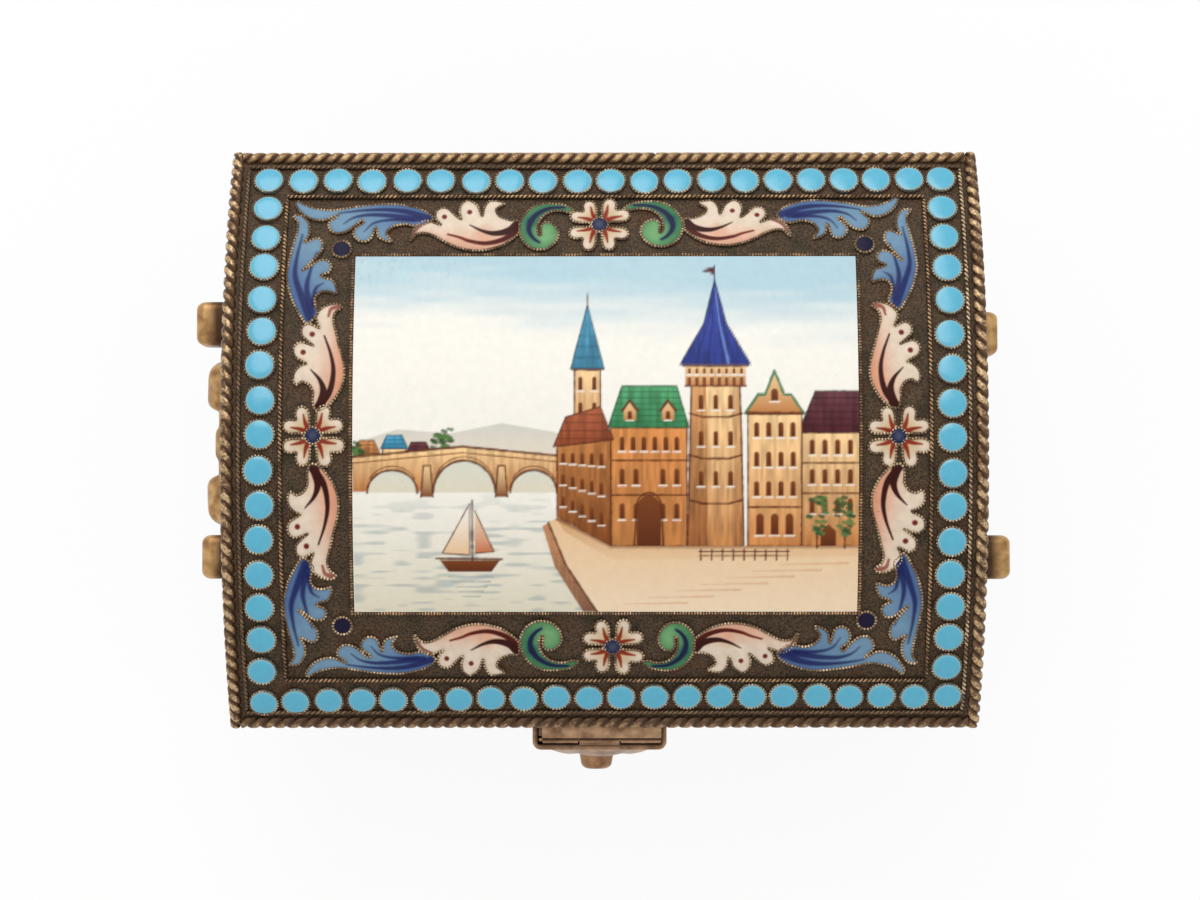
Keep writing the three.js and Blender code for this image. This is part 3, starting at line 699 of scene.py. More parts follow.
# Colours of the enamels
CREAM = srgb(228, 210, 189)
SALMON = srgb(220, 156, 124)
MAROON = srgb(54, 14, 7)
RUST = srgb(116, 34, 22)
SKY_BLUE = srgb(114, 148, 174)
DEEP_BLUE = srgb(54, 78, 140)
COBALT = srgb(22, 29, 88)
LEAF_GREEN = srgb(74, 128, 84)
PALE_GREEN = srgb(116, 168, 114)
TEAL = srgb(30, 92, 88)
NAVY = srgb(24, 32, 66)
INDIGO = srgb(26, 22, 52)
TURQUOISE_COLOUR = srgb(80, 175, 203)
BEAD_EDGE_COLOUR = srgb(140, 184, 188)
PETAL_SHADE = srgb(196, 168, 112)
VERMILION = srgb(142, 44, 26)
EYE_BLUE = srgb(38, 42, 76)
EYE_LIGHT = srgb(96, 104, 128)
CRISP = 0.09
SOFT = 0.16
BLURRED = 0.35


def veins(*lines):
    """Three dark veins of a blue leaf, from the widest to the finest."""
    widths = ((0.95, 0.2), (0.8, 0.12), (0.6, 0.1))
    return [(COBALT, 0.9, SOFT, wide, thin, knots) for (wide, thin), knots in zip(widths, lines)]


def spines(*lines):
    """Dark middle of a scroll, with a blurred edge under it."""
    under = [(TEAL, 0.6, BLURRED, 1.4, 0.6, knots) for knots in lines]
    return under + [(NAVY, 1.0, CRISP, 0.75, 0.3, knots) for knots in lines]


# Each cell: outline, base colour, shades that grow across it, and brush marks (colour, cover, softness,
# width at the start and at the end, knots; with a single knot a round dab)
BELLY = [(9.5, 25.5), (11, 24.5), (13, 24.0), (15, 24.3), (16, 24.7), (17.4, 25.1)]
SHOULDER = [(9.4, 26.4), (10.3, 25.6), (12, 25.2), (13.4, 25.5), (14.9, 26.25)]
CELL_LOOKS = {
    "white_leaf": (WHITE_LEAF, CREAM, [(SALMON, 0.75, (0, 1), 26.6, 23.6)], [
        (SALMON, 0.5, CRISP, 1.6, 0.2, [(13.2, 25.2)]),
        (RUST, 1.0, CRISP, 0.7, 0.25, BELLY),
        (MAROON, 0.7, CRISP, 0.7, 0.2, BELLY[:4]),
        (MAROON, 1.0, CRISP, 1.15, 0.15, SHOULDER),
        (RUST, 0.85, CRISP, 0.5, 0.35, [(19.6, 26.75), (20.6, 26.2), (21.2, 25.5), (21.4, 24.9)]),
        (RUST, 1.0, CRISP, 0.4, 0.22, [(14.95, 27.9)]),
        (RUST, 1.0, CRISP, 0.4, 0.22, [(17.85, 27.3)]),
    ]),
    "side_white_leaf": (SIDE_WHITE_LEAF, CREAM, [(SALMON, 1.0, (1, 0.22), 36.4, 32.4)], [
        (MAROON, 1.0, CRISP, 0.9, 0.22, [(33.6, 3.4), (32.3, 5), (31.8, 7.5), (32.1, 9.5), (32.9, 11.8)]),
        (MAROON, 1.0, CRISP, 1.2, 0.15, [(33.3, 3.4), (32.9, 5.2), (33.3, 6.5), (34.4, 7.8)]),
        (VERMILION, 0.85, CRISP, 0.3, 0.6, [(32.5, 14.2), (32.2, 15.1), (31.2, 15.45)]),
        (RUST, 1.0, CRISP, 0.42, 0.24, [(34.3, 12.0)]),
        (RUST, 1.0, CRISP, 0.42, 0.24, [(35.3, 9.85)]),
    ]),
    "blue_leaf": (BLUE_LEAF, SKY_BLUE, [(DEEP_BLUE, 0.66, (1, -1.1), -0.25, -9.25)], veins(
        [(20.8, 27.4), (23, 28.3), (25, 28.6), (27.5, 28.5), (30.0, 28.1)],
        [(21.6, 27.2), (25, 27.75), (27.2, 27.8), (28.5, 27.4), (29.5, 26.5)],
        [(22.2, 27.1), (24.6, 27.1), (26.4, 26.6), (27.3, 25.4)],
    )),
    "side_blue_leaf": (SIDE_BLUE_LEAF, SKY_BLUE, [(DEEP_BLUE, 0.66, (-1.4, 1), -23.1, -31.6)], veins(
        [(33.8, 15.6), (34.8, 18.2), (35.5, 20.5), (35.4, 22.6), (34.9, 25.6)],
        [(33.6, 16.2), (34.2, 19.0), (33.9, 21.0), (33.3, 23.4)],
        [(33.5, 17.0), (33.2, 19.0), (32.4, 19.6)],
    )),
    "scroll": (SCROLL, LEAF_GREEN, [], [(PALE_GREEN, 1.0, CRISP, 2.6, 0.4, [(6.0, 24.9)])] + spines(
        [(7.75, 26.7), (7.2, 27.5), (6.3, 28.2), (5.2, 28.65), (3.4, 28.75)],
        [(7.75, 26.7), (7.95, 25.8), (7.75, 25.0), (7.2, 24.3), (6.6, 23.9)],
    )),
    "petal": (PETAL, CREAM, [(PETAL_SHADE, 0.75, (1, 0), 3.3, 1.5)], [
        (VERMILION, 1.0, CRISP, 0.75, 0.2, [(0.9, -0.2), (1.7, -0.5), (2.6, -1.1)]),
        (VERMILION, 1.0, CRISP, 0.75, 0.2, [(0.9, 0.2), (1.7, 0.5), (2.6, 1.1)]),
    ]),
    "eye": (circle(0.95, 8), EYE_BLUE, [], [(EYE_LIGHT, 0.4, CRISP, 0.75, 0.1, [(0, 0)])]),
    "corner": (circle(1.1, 10), INDIGO, [], []),
}


class Cell:
    """A filled outline: its mesh on the flat, the distance from its edge, and its colours."""

    def __init__(self, step, knots, base, shades, marks):
        curve = smooth_line(knots, True)
        self.loop = even_steps(curve, max(12, round(line_length(curve, True) / step)), True)
        if np.cross(self.loop, np.roll(self.loop, -1, 0)).sum() < 0:
            self.loop = self.loop[::-1]
        low, high = self.loop.min(0), self.loop.max(0)
        self.low, self.size = low, high - low
        columns, rows = np.arange(low[0], high[0], step), np.arange(low[1], high[1], step * ROW_SPACING)
        inner = np.stack(np.meshgrid(columns, rows), -1)
        inner[1::2, :, 0] += step / 2
        inner = inner.reshape(-1, 2)
        inner = inner[inside_loop(inner, self.loop)]
        edge = closing(self.loop)
        inner = inner[gap_to_line(inner, edge)[0] > step * EDGE_SPACING]
        count = len(self.loop)
        edges = [(i, (i + 1) % count) for i in range(count)]
        flat = np.concatenate([self.loop, inner])
        made = delaunay_2d_cdt([Vector(p) for p in flat], edges, [], 1, 1e-6)
        self.flat = np.array([tuple(p) for p in made[0]])
        self.faces = np.array(made[2])
        self.rim = np.array([next(i for i, old in enumerate(made[3]) if n in old) for n in range(count)])
        self.gap = gap_to_line(self.flat, edge)[0]
        colour = np.tile(base, (len(self.flat), 1))
        for tone, share, across, start, end in shades:
            colour = lay_colour(colour, tone, share * ease(start, end, self.flat @ across))
        for tone, cover, soft, wide, thin, knots in marks:
            colour = lay_colour(colour, tone, cover * brush(self.flat, knots, wide, thin, soft))
        self.colour = colour * (1 - EDGE_DARK * np.exp(-self.gap / EDGE_WIDTH))[:, None]

    def place(self, move, panel, shapes, pitch=GRAIN_PITCH, edge=CELL_EDGE):
        """Lays the cell on a panel: enamel filled to the wire, closed underneath."""
        enamel_shape, wire_shape = shapes
        matrix, shift = move
        where = self.flat @ matrix + shift
        top = panel(where, edge + CELL_DOME * (1 - np.exp(-self.gap / DOME_EASE)))
        foot = panel(where[self.rim], SEAT)
        here = len(top) + np.arange(len(foot))
        faces = [self.faces, skirt(self.rim, here), here[None, ::-1]]
        if np.linalg.det(matrix) < 0:
            faces = [block[:, ::-1] for block in faces]
        colour = np.concatenate([self.colour, self.colour[self.rim]])
        enamel_shape.add(np.concatenate([top, foot]), faces, colour)
        lay_grains(wire_shape, panel, self.loop @ matrix + shift, CELL_LIFT, CELL_WIRE, pitch)

    def place_in_box(self, box, *rest):
        """Fits the cell into a box, mirrored where the box runs backwards."""
        near, far = np.array(box[::2]), np.array(box[1::2])
        scale = (far - near) / self.size
        self.place((np.diag(scale), near - scale * self.low), *rest)


def turned(centre, angle=0.0, size=1.0):
    """A move that turns and sizes a cell about its origin and sets it at a centre."""
    cos, sin = size * math.cos(angle), size * math.sin(angle)
    return np.array([(cos, sin), (-sin, cos)]), np.array(centre)


CELLS = {name: Cell(CELL_STEP, *look) for name, look in CELL_LOOKS.items()}
WALL_CELLS = {name: Cell(WALL_STEP, *look) for name, look in CELL_LOOKS.items()}


def lay_flower(cells, centre, panel, shapes, pitch=GRAIN_PITCH):
    """Four petals round an eye, each bent and sized a little by hand."""
    random = np.random.default_rng(SEED + round(10 * math.hypot(*centre)))
    for quarter in range(4):
        angle = math.radians(45 + 90 * quarter + random.uniform(-PETAL_STRAY, PETAL_STRAY))
        cells["petal"].place(turned(centre, angle, random.uniform(*PETAL_SIZES)), panel, shapes, pitch)
    cells["eye"].place(turned(centre), panel, shapes, pitch, EYE_EDGE)


# Round turquoise beads in toothed wire rims
def bead_row(name, panel, centres, size, body, instead=(), sides=BEAD_SIDES, pitch=GRAIN_PITCH):
    beads, rims = Shape(), Shape()
    random = np.random.default_rng(SEED + len(name))
    pale = ease(BEAD_PALE, 1.0, np.array([share for share, height in BEAD_DOME]))
    colours = np.repeat(lay_colour(TURQUOISE_COLOUR, BEAD_EDGE_COLOUR, pale), sides, 0)
    for centre in centres:
        middle = np.asarray(centre) + random.uniform(-BEAD_STRAY, BEAD_STRAY, 2)

        def place(ring, height):
            return panel(middle + ring * size, height)

        lathe(beads, BEAD_DOME, sides, place, colours)
        rim = middle + circle(1, RIM_STEPS) * (np.array(size) + RIM_GAP)
        lay_grains(rims, panel, rim, BEAD_EDGE, RIM_WIRE, pitch, RIM_SWELL)
    beads.piece(name, body, "turquoise_enamel", [TURQUOISE], instead)
    rims.piece(name + "_rims", body, "gilt_wire", [RIM_METAL])


def bowed_row(start, end, bow, count):
    t = np.linspace(0, 1, count)[:, None]
    return np.array(start) * (1 - t) + np.array(end) * t + np.array(bow) * 4 * t * (1 - t)


def lid_beads():
    for name, (start, end, bow, count, size) in BEAD_ROWS.items():
        row = bowed_row(start, end, bow, count)
        bead_row("beads_" + name, on_lid, row, size, "lid", ["bead_row_" + name])


# Vault, ropes and fine wires
def lid_vault():
    edge = math.asin(VAULT_HALF_Y / VAULT_RADIUS) * MEASURE_RADIUS
    columns, rows = VAULT_STEPS
    x = np.linspace(-VAULT_HALF_X, VAULT_HALF_X, columns)
    flat, sheet, border = grid(x, np.linspace(-edge, edge, rows))
    points = np.concatenate([on_lid(flat, 0.0), on_lid(flat, -VAULT_SHEET)])
    total = len(flat)
    shape = Shape()
    shape.add(points, [sheet, skirt(border, border + total), sheet[:, ::-1] + total], 0, (0, 0, 1))
    shape.piece("vault_ground", "lid", "gilt_sheet", [GROUND, GILT], ["lid_vault"])


def rope(name, path, out, body, metal, instead, outline=ROPE_OUTLINE):
    shape = Shape()
    twisted(shape, path, np.array(out), ROPE_RADIUS, ROPE_PITCH, outline)
    shape.piece(name, body, "gilt_wire", [metal], [instead])


def straight(start, end, rings):
    """Evenly spaced points, a number of them to each turn of the rope."""
    start, end = np.array(start), np.array(end)
    return np.linspace(start, end, round(np.linalg.norm(end - start) / ROPE_PITCH * rings) + 1)


def lid_ropes():
    sides = (
        # each rope's tint is lightest on the side that looks lit, painted light; the front rope gets the
        # darker gilt as painted shade, the back rope the lighter gilt as painted light
        ("front", -LID_ROPE_Y, (0, -0.95, 0.3), SHADED_FRONT_ROPE_METAL),
        ("back", LID_ROPE_Y, (0, 0.6, 0.8), LIT_BACK_ROPE_METAL),
    )
    for name, y, unshaded, metal in sides:
        ends = (-LID_ROPE_HALF_X - LEFT_STRAY, y, LID_ROPE_Z), (LID_ROPE_HALF_X, y, LID_ROPE_Z)
        rope("edge_rope_" + name, straight(*ends, ROPE_RINGS), unshaded, "lid", metal, "lid_rope_" + name)
    end = math.asin(SIDE_ROPE_END_Y / SIDE_ROPE_RADIUS)
    turn = np.linspace(-end, end, round(2 * end * SIDE_ROPE_RADIUS / ROPE_PITCH * ROPE_RINGS) + 1)
    out = point(0, np.sin(turn), np.cos(turn))
    # the left rope's lit side leans to its outer side: painted light
    for name, x, tilt in (("left", -SIDE_ROPE_X - LEFT_STRAY, -0.6), ("right", SIDE_ROPE_X, 0.0)):
        path = out * SIDE_ROPE_RADIUS + (x, 0, VAULT_CENTRE)
        rope("edge_rope_" + name, path, out + (tilt, 0, 0), "lid", ROPE_METAL, "lid_rope_" + name)


def foot_ropes():
    reach = np.array((FOOT_ROPE_X + ROPE_RADIUS, FOOT_ROPE_Y - ROPE_RADIUS - FOOT_ROPE_GAP, 0))
    sides = {"front": (0, -1, 0), "back": (0, 1, 0), "left": (-1, 0, 0), "right": (1, 0, 0)}
    for name, out in sides.items():
        middle = np.array(out) * (FOOT_ROPE_X, FOOT_ROPE_Y, 0) + (0, 0, FOOT_ROPE_Z)
        half = reach * np.abs((out[1], out[0], 0))
        path = straight(middle - half, middle + half, FOOT_RINGS)
        rope("base_rope_" + name, path, out, "casket_body", ROPE_METAL, "foot_rope_" + name, WIRE_OUTLINE)


def lid_wires():
    frames = (
        # the right outer wire gets the brighter cell wire gilt as painted light; the other outer wires the
        # dimmer outer gilt
        ("outer", OUTER_WIRE, LEFT_STRAY, OUTER_PITCH, OUTER_METAL, CELL_METAL),
        ("inner", INNER_WIRE, 0.0, INNER_PITCH, FINE_METAL, FINE_METAL),
    )
    for kind, (x, s), stray, pitch, metal, bright in frames:
        left, end = -x - stray, s - 2 * FINE_WIRE
        sides = (
            ("front", [(left, -s), (x, -s)], metal), ("back", [(left, s), (x, s)], metal),
            ("left", [(left, -end), (left, end)], metal), ("right", [(x, -end), (x, end)], bright),
        )
        for name, ends, look in sides:
            shape = Shape()
            lay_wire(shape, on_lid, ends, pitch)
            shape.piece(f"{kind}_twist_{name}", "lid", "gilt_wire", [look], [f"{kind}_wire_{name}"])
    x = PLAQUE_HALF_X + BEZEL_GAP[0]
    low, high = PLAQUE_FRONT - BEZEL_GAP[1], PLAQUE_BACK + BEZEL_GAP[1]
    shape = Shape()
    edge = [(-x, low), (x, low), (x, high), (-x, high)]
    lay_grains(shape, on_lid, edge, BEZEL_LIFT, BEZEL_WIRE, BEZEL_PITCH)
    shape.piece("plaque_wire", "lid", "gilt_wire", [FINE_METAL], ["plaque_bezel"])


def lid_cells():
    names = ("white_leaves", "blue_leaves", "green_scrolls", "flowers", "corner_dots")
    white, blue, green, flowers, dots = enamel_shapes = [Shape() for name in names]
    wire_shape = Shape()
    layout = (
        ("white_leaf", WHITE_LEAF_BOXES, white), ("side_white_leaf", SIDE_WHITE_LEAF_BOXES, white),
        ("blue_leaf", BLUE_LEAF_BOXES, blue), ("side_blue_leaf", SIDE_BLUE_LEAF_BOXES, blue),
        ("scroll", SCROLL_BOXES, green),
    )
    for cell, boxes, shape in layout:
        for box in boxes:
            CELLS[cell].place_in_box(box, on_lid, (shape, wire_shape))
    for centre in FLOWERS:
        lay_flower(CELLS, centre, on_lid, (flowers, wire_shape))
    for centre in CORNER_DOTS:
        CELLS["corner"].place(turned(centre), on_lid, (dots, wire_shape))
    for name, shape in zip(names, enamel_shapes):
        shape.piece("lid_" + name, "lid", "painted_enamel", [CELL_ENAMEL])
    wire_shape.piece("lid_cell_wire", "lid", "gilt_wire", [CELL_METAL])


# Picture on the plaque: a river town, drawn in sepia with coloured roofs
INK = srgb(92, 40, 12)
UMBER = srgb(122, 64, 26)
OCHRE = srgb(188, 122, 66)
STONE = srgb(238, 200, 146)
PAPER = srgb(242, 238, 228)
SAND = srgb(228, 190, 146)
PALE_SAND = srgb(238, 214, 182)
HIGH_SKY = srgb(160, 198, 212)
WATER = srgb(220, 212, 188)
RIPPLE = srgb(140, 160, 164)
HAZE = srgb(214, 214, 200)
HILL = srgb(196, 196, 186)
SAIL = srgb(196, 110, 70)
ROOF_BLUE = srgb(30, 52, 142)
ROOF_GLINT = srgb(120, 150, 214)
ROOF_TEAL = srgb(58, 136, 168)
ROOF_GREEN = srgb(62, 138, 88)
ROOF_PLUM = srgb(84, 32, 40)
ROOF_TILE = srgb(150, 74, 40)
TREE = srgb(84, 120, 62)
TREE_DARK = srgb(46, 78, 40)
PAINT_EDGE = 0.1
TREE_DABS = 26


def arc(x, s, wide, high, count):
    """Points over a half-round head, from right to left."""
    return [(x + wide * math.cos(t), s + high * math.sin(t)) for t in np.linspace(0, np.pi, count)]


class Painting:
    """Colours over a plane, laid on in washes and lines."""

    def __init__(self, places, ground):
        self.p = places
        self.colour = np.tile(ground, (len(places), 1))
        self.grit = grain(places[:, 0], places[:, 1], 0.5, 1)
        self.streak = grain(places[:, 0], 0.14 * places[:, 1], 0.3, 2)

    def near(self, knots, margin):
        low, high = np.min(knots, 0) - margin, np.max(knots, 0) + margin
        return np.flatnonzero(((self.p > low) & (self.p < high)).all(1))

    def lay(self, where, colour, cover):
        self.colour[where] += (colour - self.colour[where]) * np.clip(cover, 0, 1)[:, None]

    def wash(self, corners, top, foot=None, cover=1.0, streaky=0.0, pen=0.0, closed=True):
        """Filled outline, shaded from top to foot, with upright brush streaks and a pen line round it."""
        loop = np.asarray(corners, float)
        where = self.near(loop, 0.4)
        p = self.p[where]
        gap = gap_to_line(p, closing(loop))[0]
        inside = ease(PAINT_EDGE, -PAINT_EDGE, np.where(inside_loop(p, loop), -gap, gap))
        foot = top if foot is None else foot
        colour = foot + (top - foot) * (p[:, 1:] - loop[:, 1].min()) / np.ptp(loop[:, 1])
        self.lay(where, colour * (1 - streaky * (self.streak[where] - 0.5))[:, None], inside * cover)
        if pen:
            self.line(closing(loop) if closed else loop, pen)

    def line(self, knots, wide=0.2, colour=INK, thin=None, cover=0.9):
        """Pen line through knots, uneven like a drawn one."""
        knots = np.asarray(knots, float)
        where = self.near(knots, 0.6)
        gap, place = gap_to_line(self.p[where], knots)
        half = (wide + ((wide if thin is None else thin) - wide) * place) / 2
        uneven = half * (0.7 + 0.6 * self.grit[where])
        self.lay(where, colour, cover * ease(PAINT_EDGE, -PAINT_EDGE, gap - uneven))

    def level(self, x0, x1, s, *rest):
        self.line([(x0, s), (x1, s)], *rest)

    def block(self, x0, x1, foot, top, light=STONE, dark=OCHRE):
        """Wall with a pen outline."""
        self.wash([(x0, foot), (x1, foot), (x1, top), (x0, top)], light, dark, 1.0, 0.5, 0.2)

    def window(self, x, s, wide, high):
        """Dark round-headed opening with a pale sill."""
        half, foot = wide / 2, s - high / 2
        self.wash([(x - half, foot), (x + half, foot)] + arc(x, s + high / 2, half, half, 7), UMBER, INK)
        self.level(x - half - 0.15, x + half + 0.15, foot - 0.15, 0.16, PAPER)

    def windows(self, x0, x1, columns, levels, wide, high):
        for s in levels:
            for x in np.linspace(x0, x1, columns):
                self.window(x, s, wide, high)

    def roof(self, corners, colour, courses):
        """Coloured roof with darker courses and a dark edge."""
        self.wash(corners, colour * 1.25 + 0.02, colour * 0.75, 1.0, 0.7)
        loop = closing(np.asarray(corners, float))
        low, high = loop[:, 1].min(), loop[:, 1].max()
        for n in range(1, courses):
            s = low + (high - low) * n / courses
            crossed = [(a, b) for a, b in zip(loop, loop[1:]) if (a[1] > s) != (b[1] > s)]
            x = [a[0] + (b[0] - a[0]) * (s - a[1]) / (b[1] - a[1]) for a, b in crossed]
            self.level(min(x), max(x), s, 0.14, colour * 0.45, None, 0.7)
        self.line(loop, 0.18, colour * 0.4)

    def tree(self, x, s, wide, high, seed):
        """Tree of dabbed leaves on a short trunk."""
        self.line([(x, s), (x, s + 0.4 * high)], 0.25)
        random = np.random.default_rng(SEED + seed)
        for n in range(TREE_DABS):
            up = random.uniform(0.25, 1)
            half = wide / 2 * math.sin(math.pi * min(1, 1.15 - up * 0.95)) ** 0.7
            a, b = x + random.uniform(-half, half), s + up * high
            tone = TREE if random.random() > 0.45 else TREE_DARK
            self.line([(a - 0.18, b), (a + 0.18, b + 0.1)], 0.42, tone, None, 0.85)


def paint_picture(p):
    art = Painting(p * (-1, 1), PAPER)
    x, s = p[:, 0], p[:, 1]
    everywhere = np.arange(len(p))
    drift = grain(0.12 * x, s, 0.8, 3) + 0.6 * grain(0.3 * x, s, 2.2, 4)
    art.lay(everywhere, HIGH_SKY, 0.85 * ease(9.5, 20.5, s + 3.2 * (drift - 0.8) + 0.04 * x))
    hills = [(3, -5), (29.2, -5), (29.2, -1), (24, 0.6), (18, 0.1), (12, 1.3), (6, 0.3), (3, -0.6)]
    art.wash(hills, HILL, PALE_SAND, 0.8)
    water = [(-3, -20.9), (29.2, -20.9), (29.2, -5.2), (7, -5.2), (5.5, -10), (2, -15)]
    art.wash(water, PAPER, WATER)
    rippled = inside_loop(art.p, np.array(water)) * ease(0.55, 0.85, grain(0.16 * x, s, 0.42, 5))
    art.lay(everywhere, RIPPLE, 0.5 * rippled * ease(-4.5, -12, s))
    far_bank = ((20.2, -2.4, ROOF_PLUM), (23.0, -1.6, ROOF_TEAL), (26.2, -2.2, OCHRE))
    for n, (at, top, roof) in enumerate(far_bank):
        art.block(at, at + 2.7, -5, top)
        art.roof([(at - 0.2, top), (at + 2.9, top), (at + 2.2, top + 1.5), (at + 0.5, top + 1.5)], roof, 3)
        art.windows(at + 0.6, at + 2.1, 3, [-4.1 + 0.3 * n], 0.3, 0.7)
    for n, at in enumerate((18.4, 19.3, 28.6)):
        art.tree(at, -5.2, 1.3, 6.2 - n, 20 + n)
    for paint in (paint_bridge, paint_town, paint_tower, paint_quay, paint_boat):
        paint(art)
    tone = 1 - 0.03 * (grain(x, s, 0.7, 6) - 0.5)
    soiled = 0.16 * ease(0.72, 0.95, grain(x, s, 0.3, 7)) * ease(15, 21, s) * ease(-8, -24, x)
    return np.clip(art.colour, 0, 1) * (tone - soiled)[:, None]


def paint_bridge(art):
    """Stone bridge of three arches."""
    art.wash([(4, -6.6), (29.2, -6.6), (29.2, -2.6), (16.5, -1.4), (4, -2.6)], STONE, OCHRE, 1.0, 0.5)
    for middle, half, high in ((8.3, 2.7, 2.6), (16.3, 3.6, 3.7), (24.6, 2.9, 2.6)):
        arch = arc(middle, -6.7, half, high, 15)
        art.wash(arch, HAZE, WATER, 1.0, 0.0, 0.3, False)
        art.line([(a, b + 0.45) for a, b in arch[2:-2]], 0.14, UMBER)
    art.line([(4, -2.6), (16.5, -1.4), (29.2, -2.6)], 0.3)
    art.line([(4, -3.3), (16.5, -2.1), (29.2, -3.3)], 0.16, UMBER)
    for x in (12, 20.6):
        pier = [(x - 0.7, -7.2), (x - 0.4, -3.6), (x + 0.4, -3.6), (x + 0.7, -7.2)]
        art.wash(pier, STONE, UMBER, 1.0, 0.0, 0.2, False)


def paint_town(art):
    """Turret, plum-roofed house, gabled house, and gatehouse with its side wall."""
    art.block(0.6, 3.6, -3, 7.6)
    art.windows(1.3, 2.9, 2, [5.8, 2.8], 0.5, 1.3)
    art.level(0.3, 3.9, 7.6, 0.4)
    art.roof([(0.2, 7.7), (4.0, 7.7), (2.1, 15.2)], ROOF_TEAL, 6)
    art.line([(2.1, 15.0), (2.1, 16.6)], 0.16)
    art.block(-29.4, -22.6, -13, 0.2)
    art.roof([(-29.4, 0.2), (-22.2, 0.2), (-24.2, 5.0), (-29.4, 5.0)], ROOF_PLUM, 6)
    art.windows(-28.2, -23.8, 4, [-1.6, -5.0, -8.4], 0.6, 1.4)
    art.level(-29.4, -22.6, -3.3)
    art.level(-29.4, -22.6, -6.8)
    art.wash([(-26.6, -13), (-24.8, -13), (-24.8, -11.2), (-25.7, -10.4), (-26.6, -11.2)], UMBER, INK)
    art.block(-22.6, -16.4, -13, 2.4, STONE * 1.04, OCHRE * 1.15)
    steps = [(-22.9, 2.4), (-21.4, 4.6), (-20.6, 4.6), (-19.5, 7.4)]
    gable = steps + [(-39 - x, s) for x, s in steps[-2::-1]]
    art.wash(gable, STONE, OCHRE)
    art.line(gable, 0.32, ROOF_GREEN * 0.7)
    art.window(-19.5, 4.4, 0.8, 1.0)
    art.windows(-21.6, -17.4, 4, [0.4, -3.0, -6.4], 0.6, 1.4)
    art.windows(-21.2, -17.8, 3, [-10.6], 0.9, 2.0)
    art.level(-22.6, -16.4, 2.4, 0.4)
    art.level(-22.6, -16.4, -8.4, 0.24)
    art.block(-9.4, -0.6, -13, 0.8, OCHRE * 1.3)
    art.roof([(-9.6, 0.8), (-0.3, 0.8), (-1.9, 5.6), (-8.2, 5.6)], ROOF_GREEN, 7)
    for x in (-7.2, -2.8):
        art.wash([(x - 0.7, 1.6), (x + 0.7, 1.6), (x + 0.7, 2.9), (x, 3.8), (x - 0.7, 2.9)], STONE, OCHRE)
        art.line([(x - 0.9, 2.7), (x, 3.9), (x + 0.9, 2.7)], 0.3)
        art.window(x, 2.1, 0.5, 0.7)
    art.windows(-8.2, -1.9, 6, [-1.2], 0.55, 1.3)
    for x in (-8.2, -3.5):
        art.windows(x, x + 1.6, 2, [-5.0, -9.0], 0.6, 1.5)
    gate = arc(-5, -8.6, 1.4, 1.6, 11)
    art.wash([(-6.4, -13), (-3.6, -13)] + gate, UMBER, INK)
    art.line([(-6.7, -13)] + [(a, b + 0.3) for a, b in gate[::-1]] + [(-3.3, -13)], 0.24)
    for s in (-3.0, -7.0):
        art.level(-9.4, -0.6, s, 0.22)
    art.wash([(-0.6, -13), (5.6, -9.6), (5.6, -1.4), (-0.6, -0.6)], OCHRE * 0.9, UMBER, 1.0, 0.6, 0.22)
    art.roof([(-0.9, -0.6), (6.0, -1.4), (4.6, 2.0), (0.6, 3.2)], ROOF_TILE, 5)
    for n in range(5):
        for s, rise in ((-3.0, 0.05), (-6.4, 0.28), (-9.8, 0.5)):
            art.window(0.5 + 1.1 * n, s + rise * n, 0.45, 1.2 - 0.08 * n)


def paint_tower(art):
    """Round tower with a tall pointed roof."""
    art.wash([(-16.0, -14), (-9.4, -14), (-9.9, 5.6), (-15.5, 5.6)], STONE, OCHRE, 1.0, 0.6)
    art.wash([(-11.8, -14), (-9.4, -14), (-9.9, 5.6), (-11.6, 5.6)], OCHRE, UMBER, 0.75, 0.6)
    art.wash([(-16.0, -14), (-14.9, -14), (-14.7, 5.6), (-15.5, 5.6)], OCHRE, UMBER, 0.45, 0.6)
    art.line([(-16.0, -14), (-15.5, 5.6)], 0.24)
    art.line([(-9.4, -14), (-9.9, 5.6)], 0.24)
    for s in (2.4, -2.4, -7.6):
        art.line([(-15.7, s), (-14.2, s - 0.4), (-11.2, s - 0.4), (-9.7, s)], 0.26)
    art.windows(-14.4, -11.0, 3, [3.6, -0.6, -5.2], 0.55, 1.4)
    art.wash([(-16.2, 5.6), (-9.2, 5.6), (-9.2, 8.0), (-16.2, 8.0)], STONE, OCHRE, 1.0, 0.4)
    for n in range(8):
        x = -15.7 + n * 0.86
        art.wash([(x - 0.2, 5.6), (x + 0.2, 5.6), (x + 0.2, 6.6), (x - 0.2, 6.6)], UMBER)
        art.window(x, 7.3, 0.3, 0.5)
    art.level(-16.4, -9.0, 8.0, 0.36)
    art.level(-16.2, -9.2, 5.6)
    art.roof([(-16.8, 8.1), (-8.6, 8.1), (-11.4, 13.0), (-12.7, 18.4), (-14.0, 13.0)], ROOF_BLUE, 8)
    for x in (-15.0, -13.6, -11.8, -10.4):
        art.line([(x, 8.3), (-12.7 + (x + 12.7) * 0.35, 13.2), (-12.7, 18.0)], 0.16, ROOF_BLUE * 0.4, 0.08)
    art.line([(-14.2, 8.4), (-13.2, 13.0), (-12.75, 17.4)], 0.3, ROOF_GLINT, 0.1, 0.7)
    art.line([(-12.7, 18.2), (-12.7, 20.2)], 0.16, ROOF_BLUE * 0.5)
    art.wash([(-12.7, 19.1), (-12.7, 20.1), (-11.0, 19.7)], ROOF_PLUM)


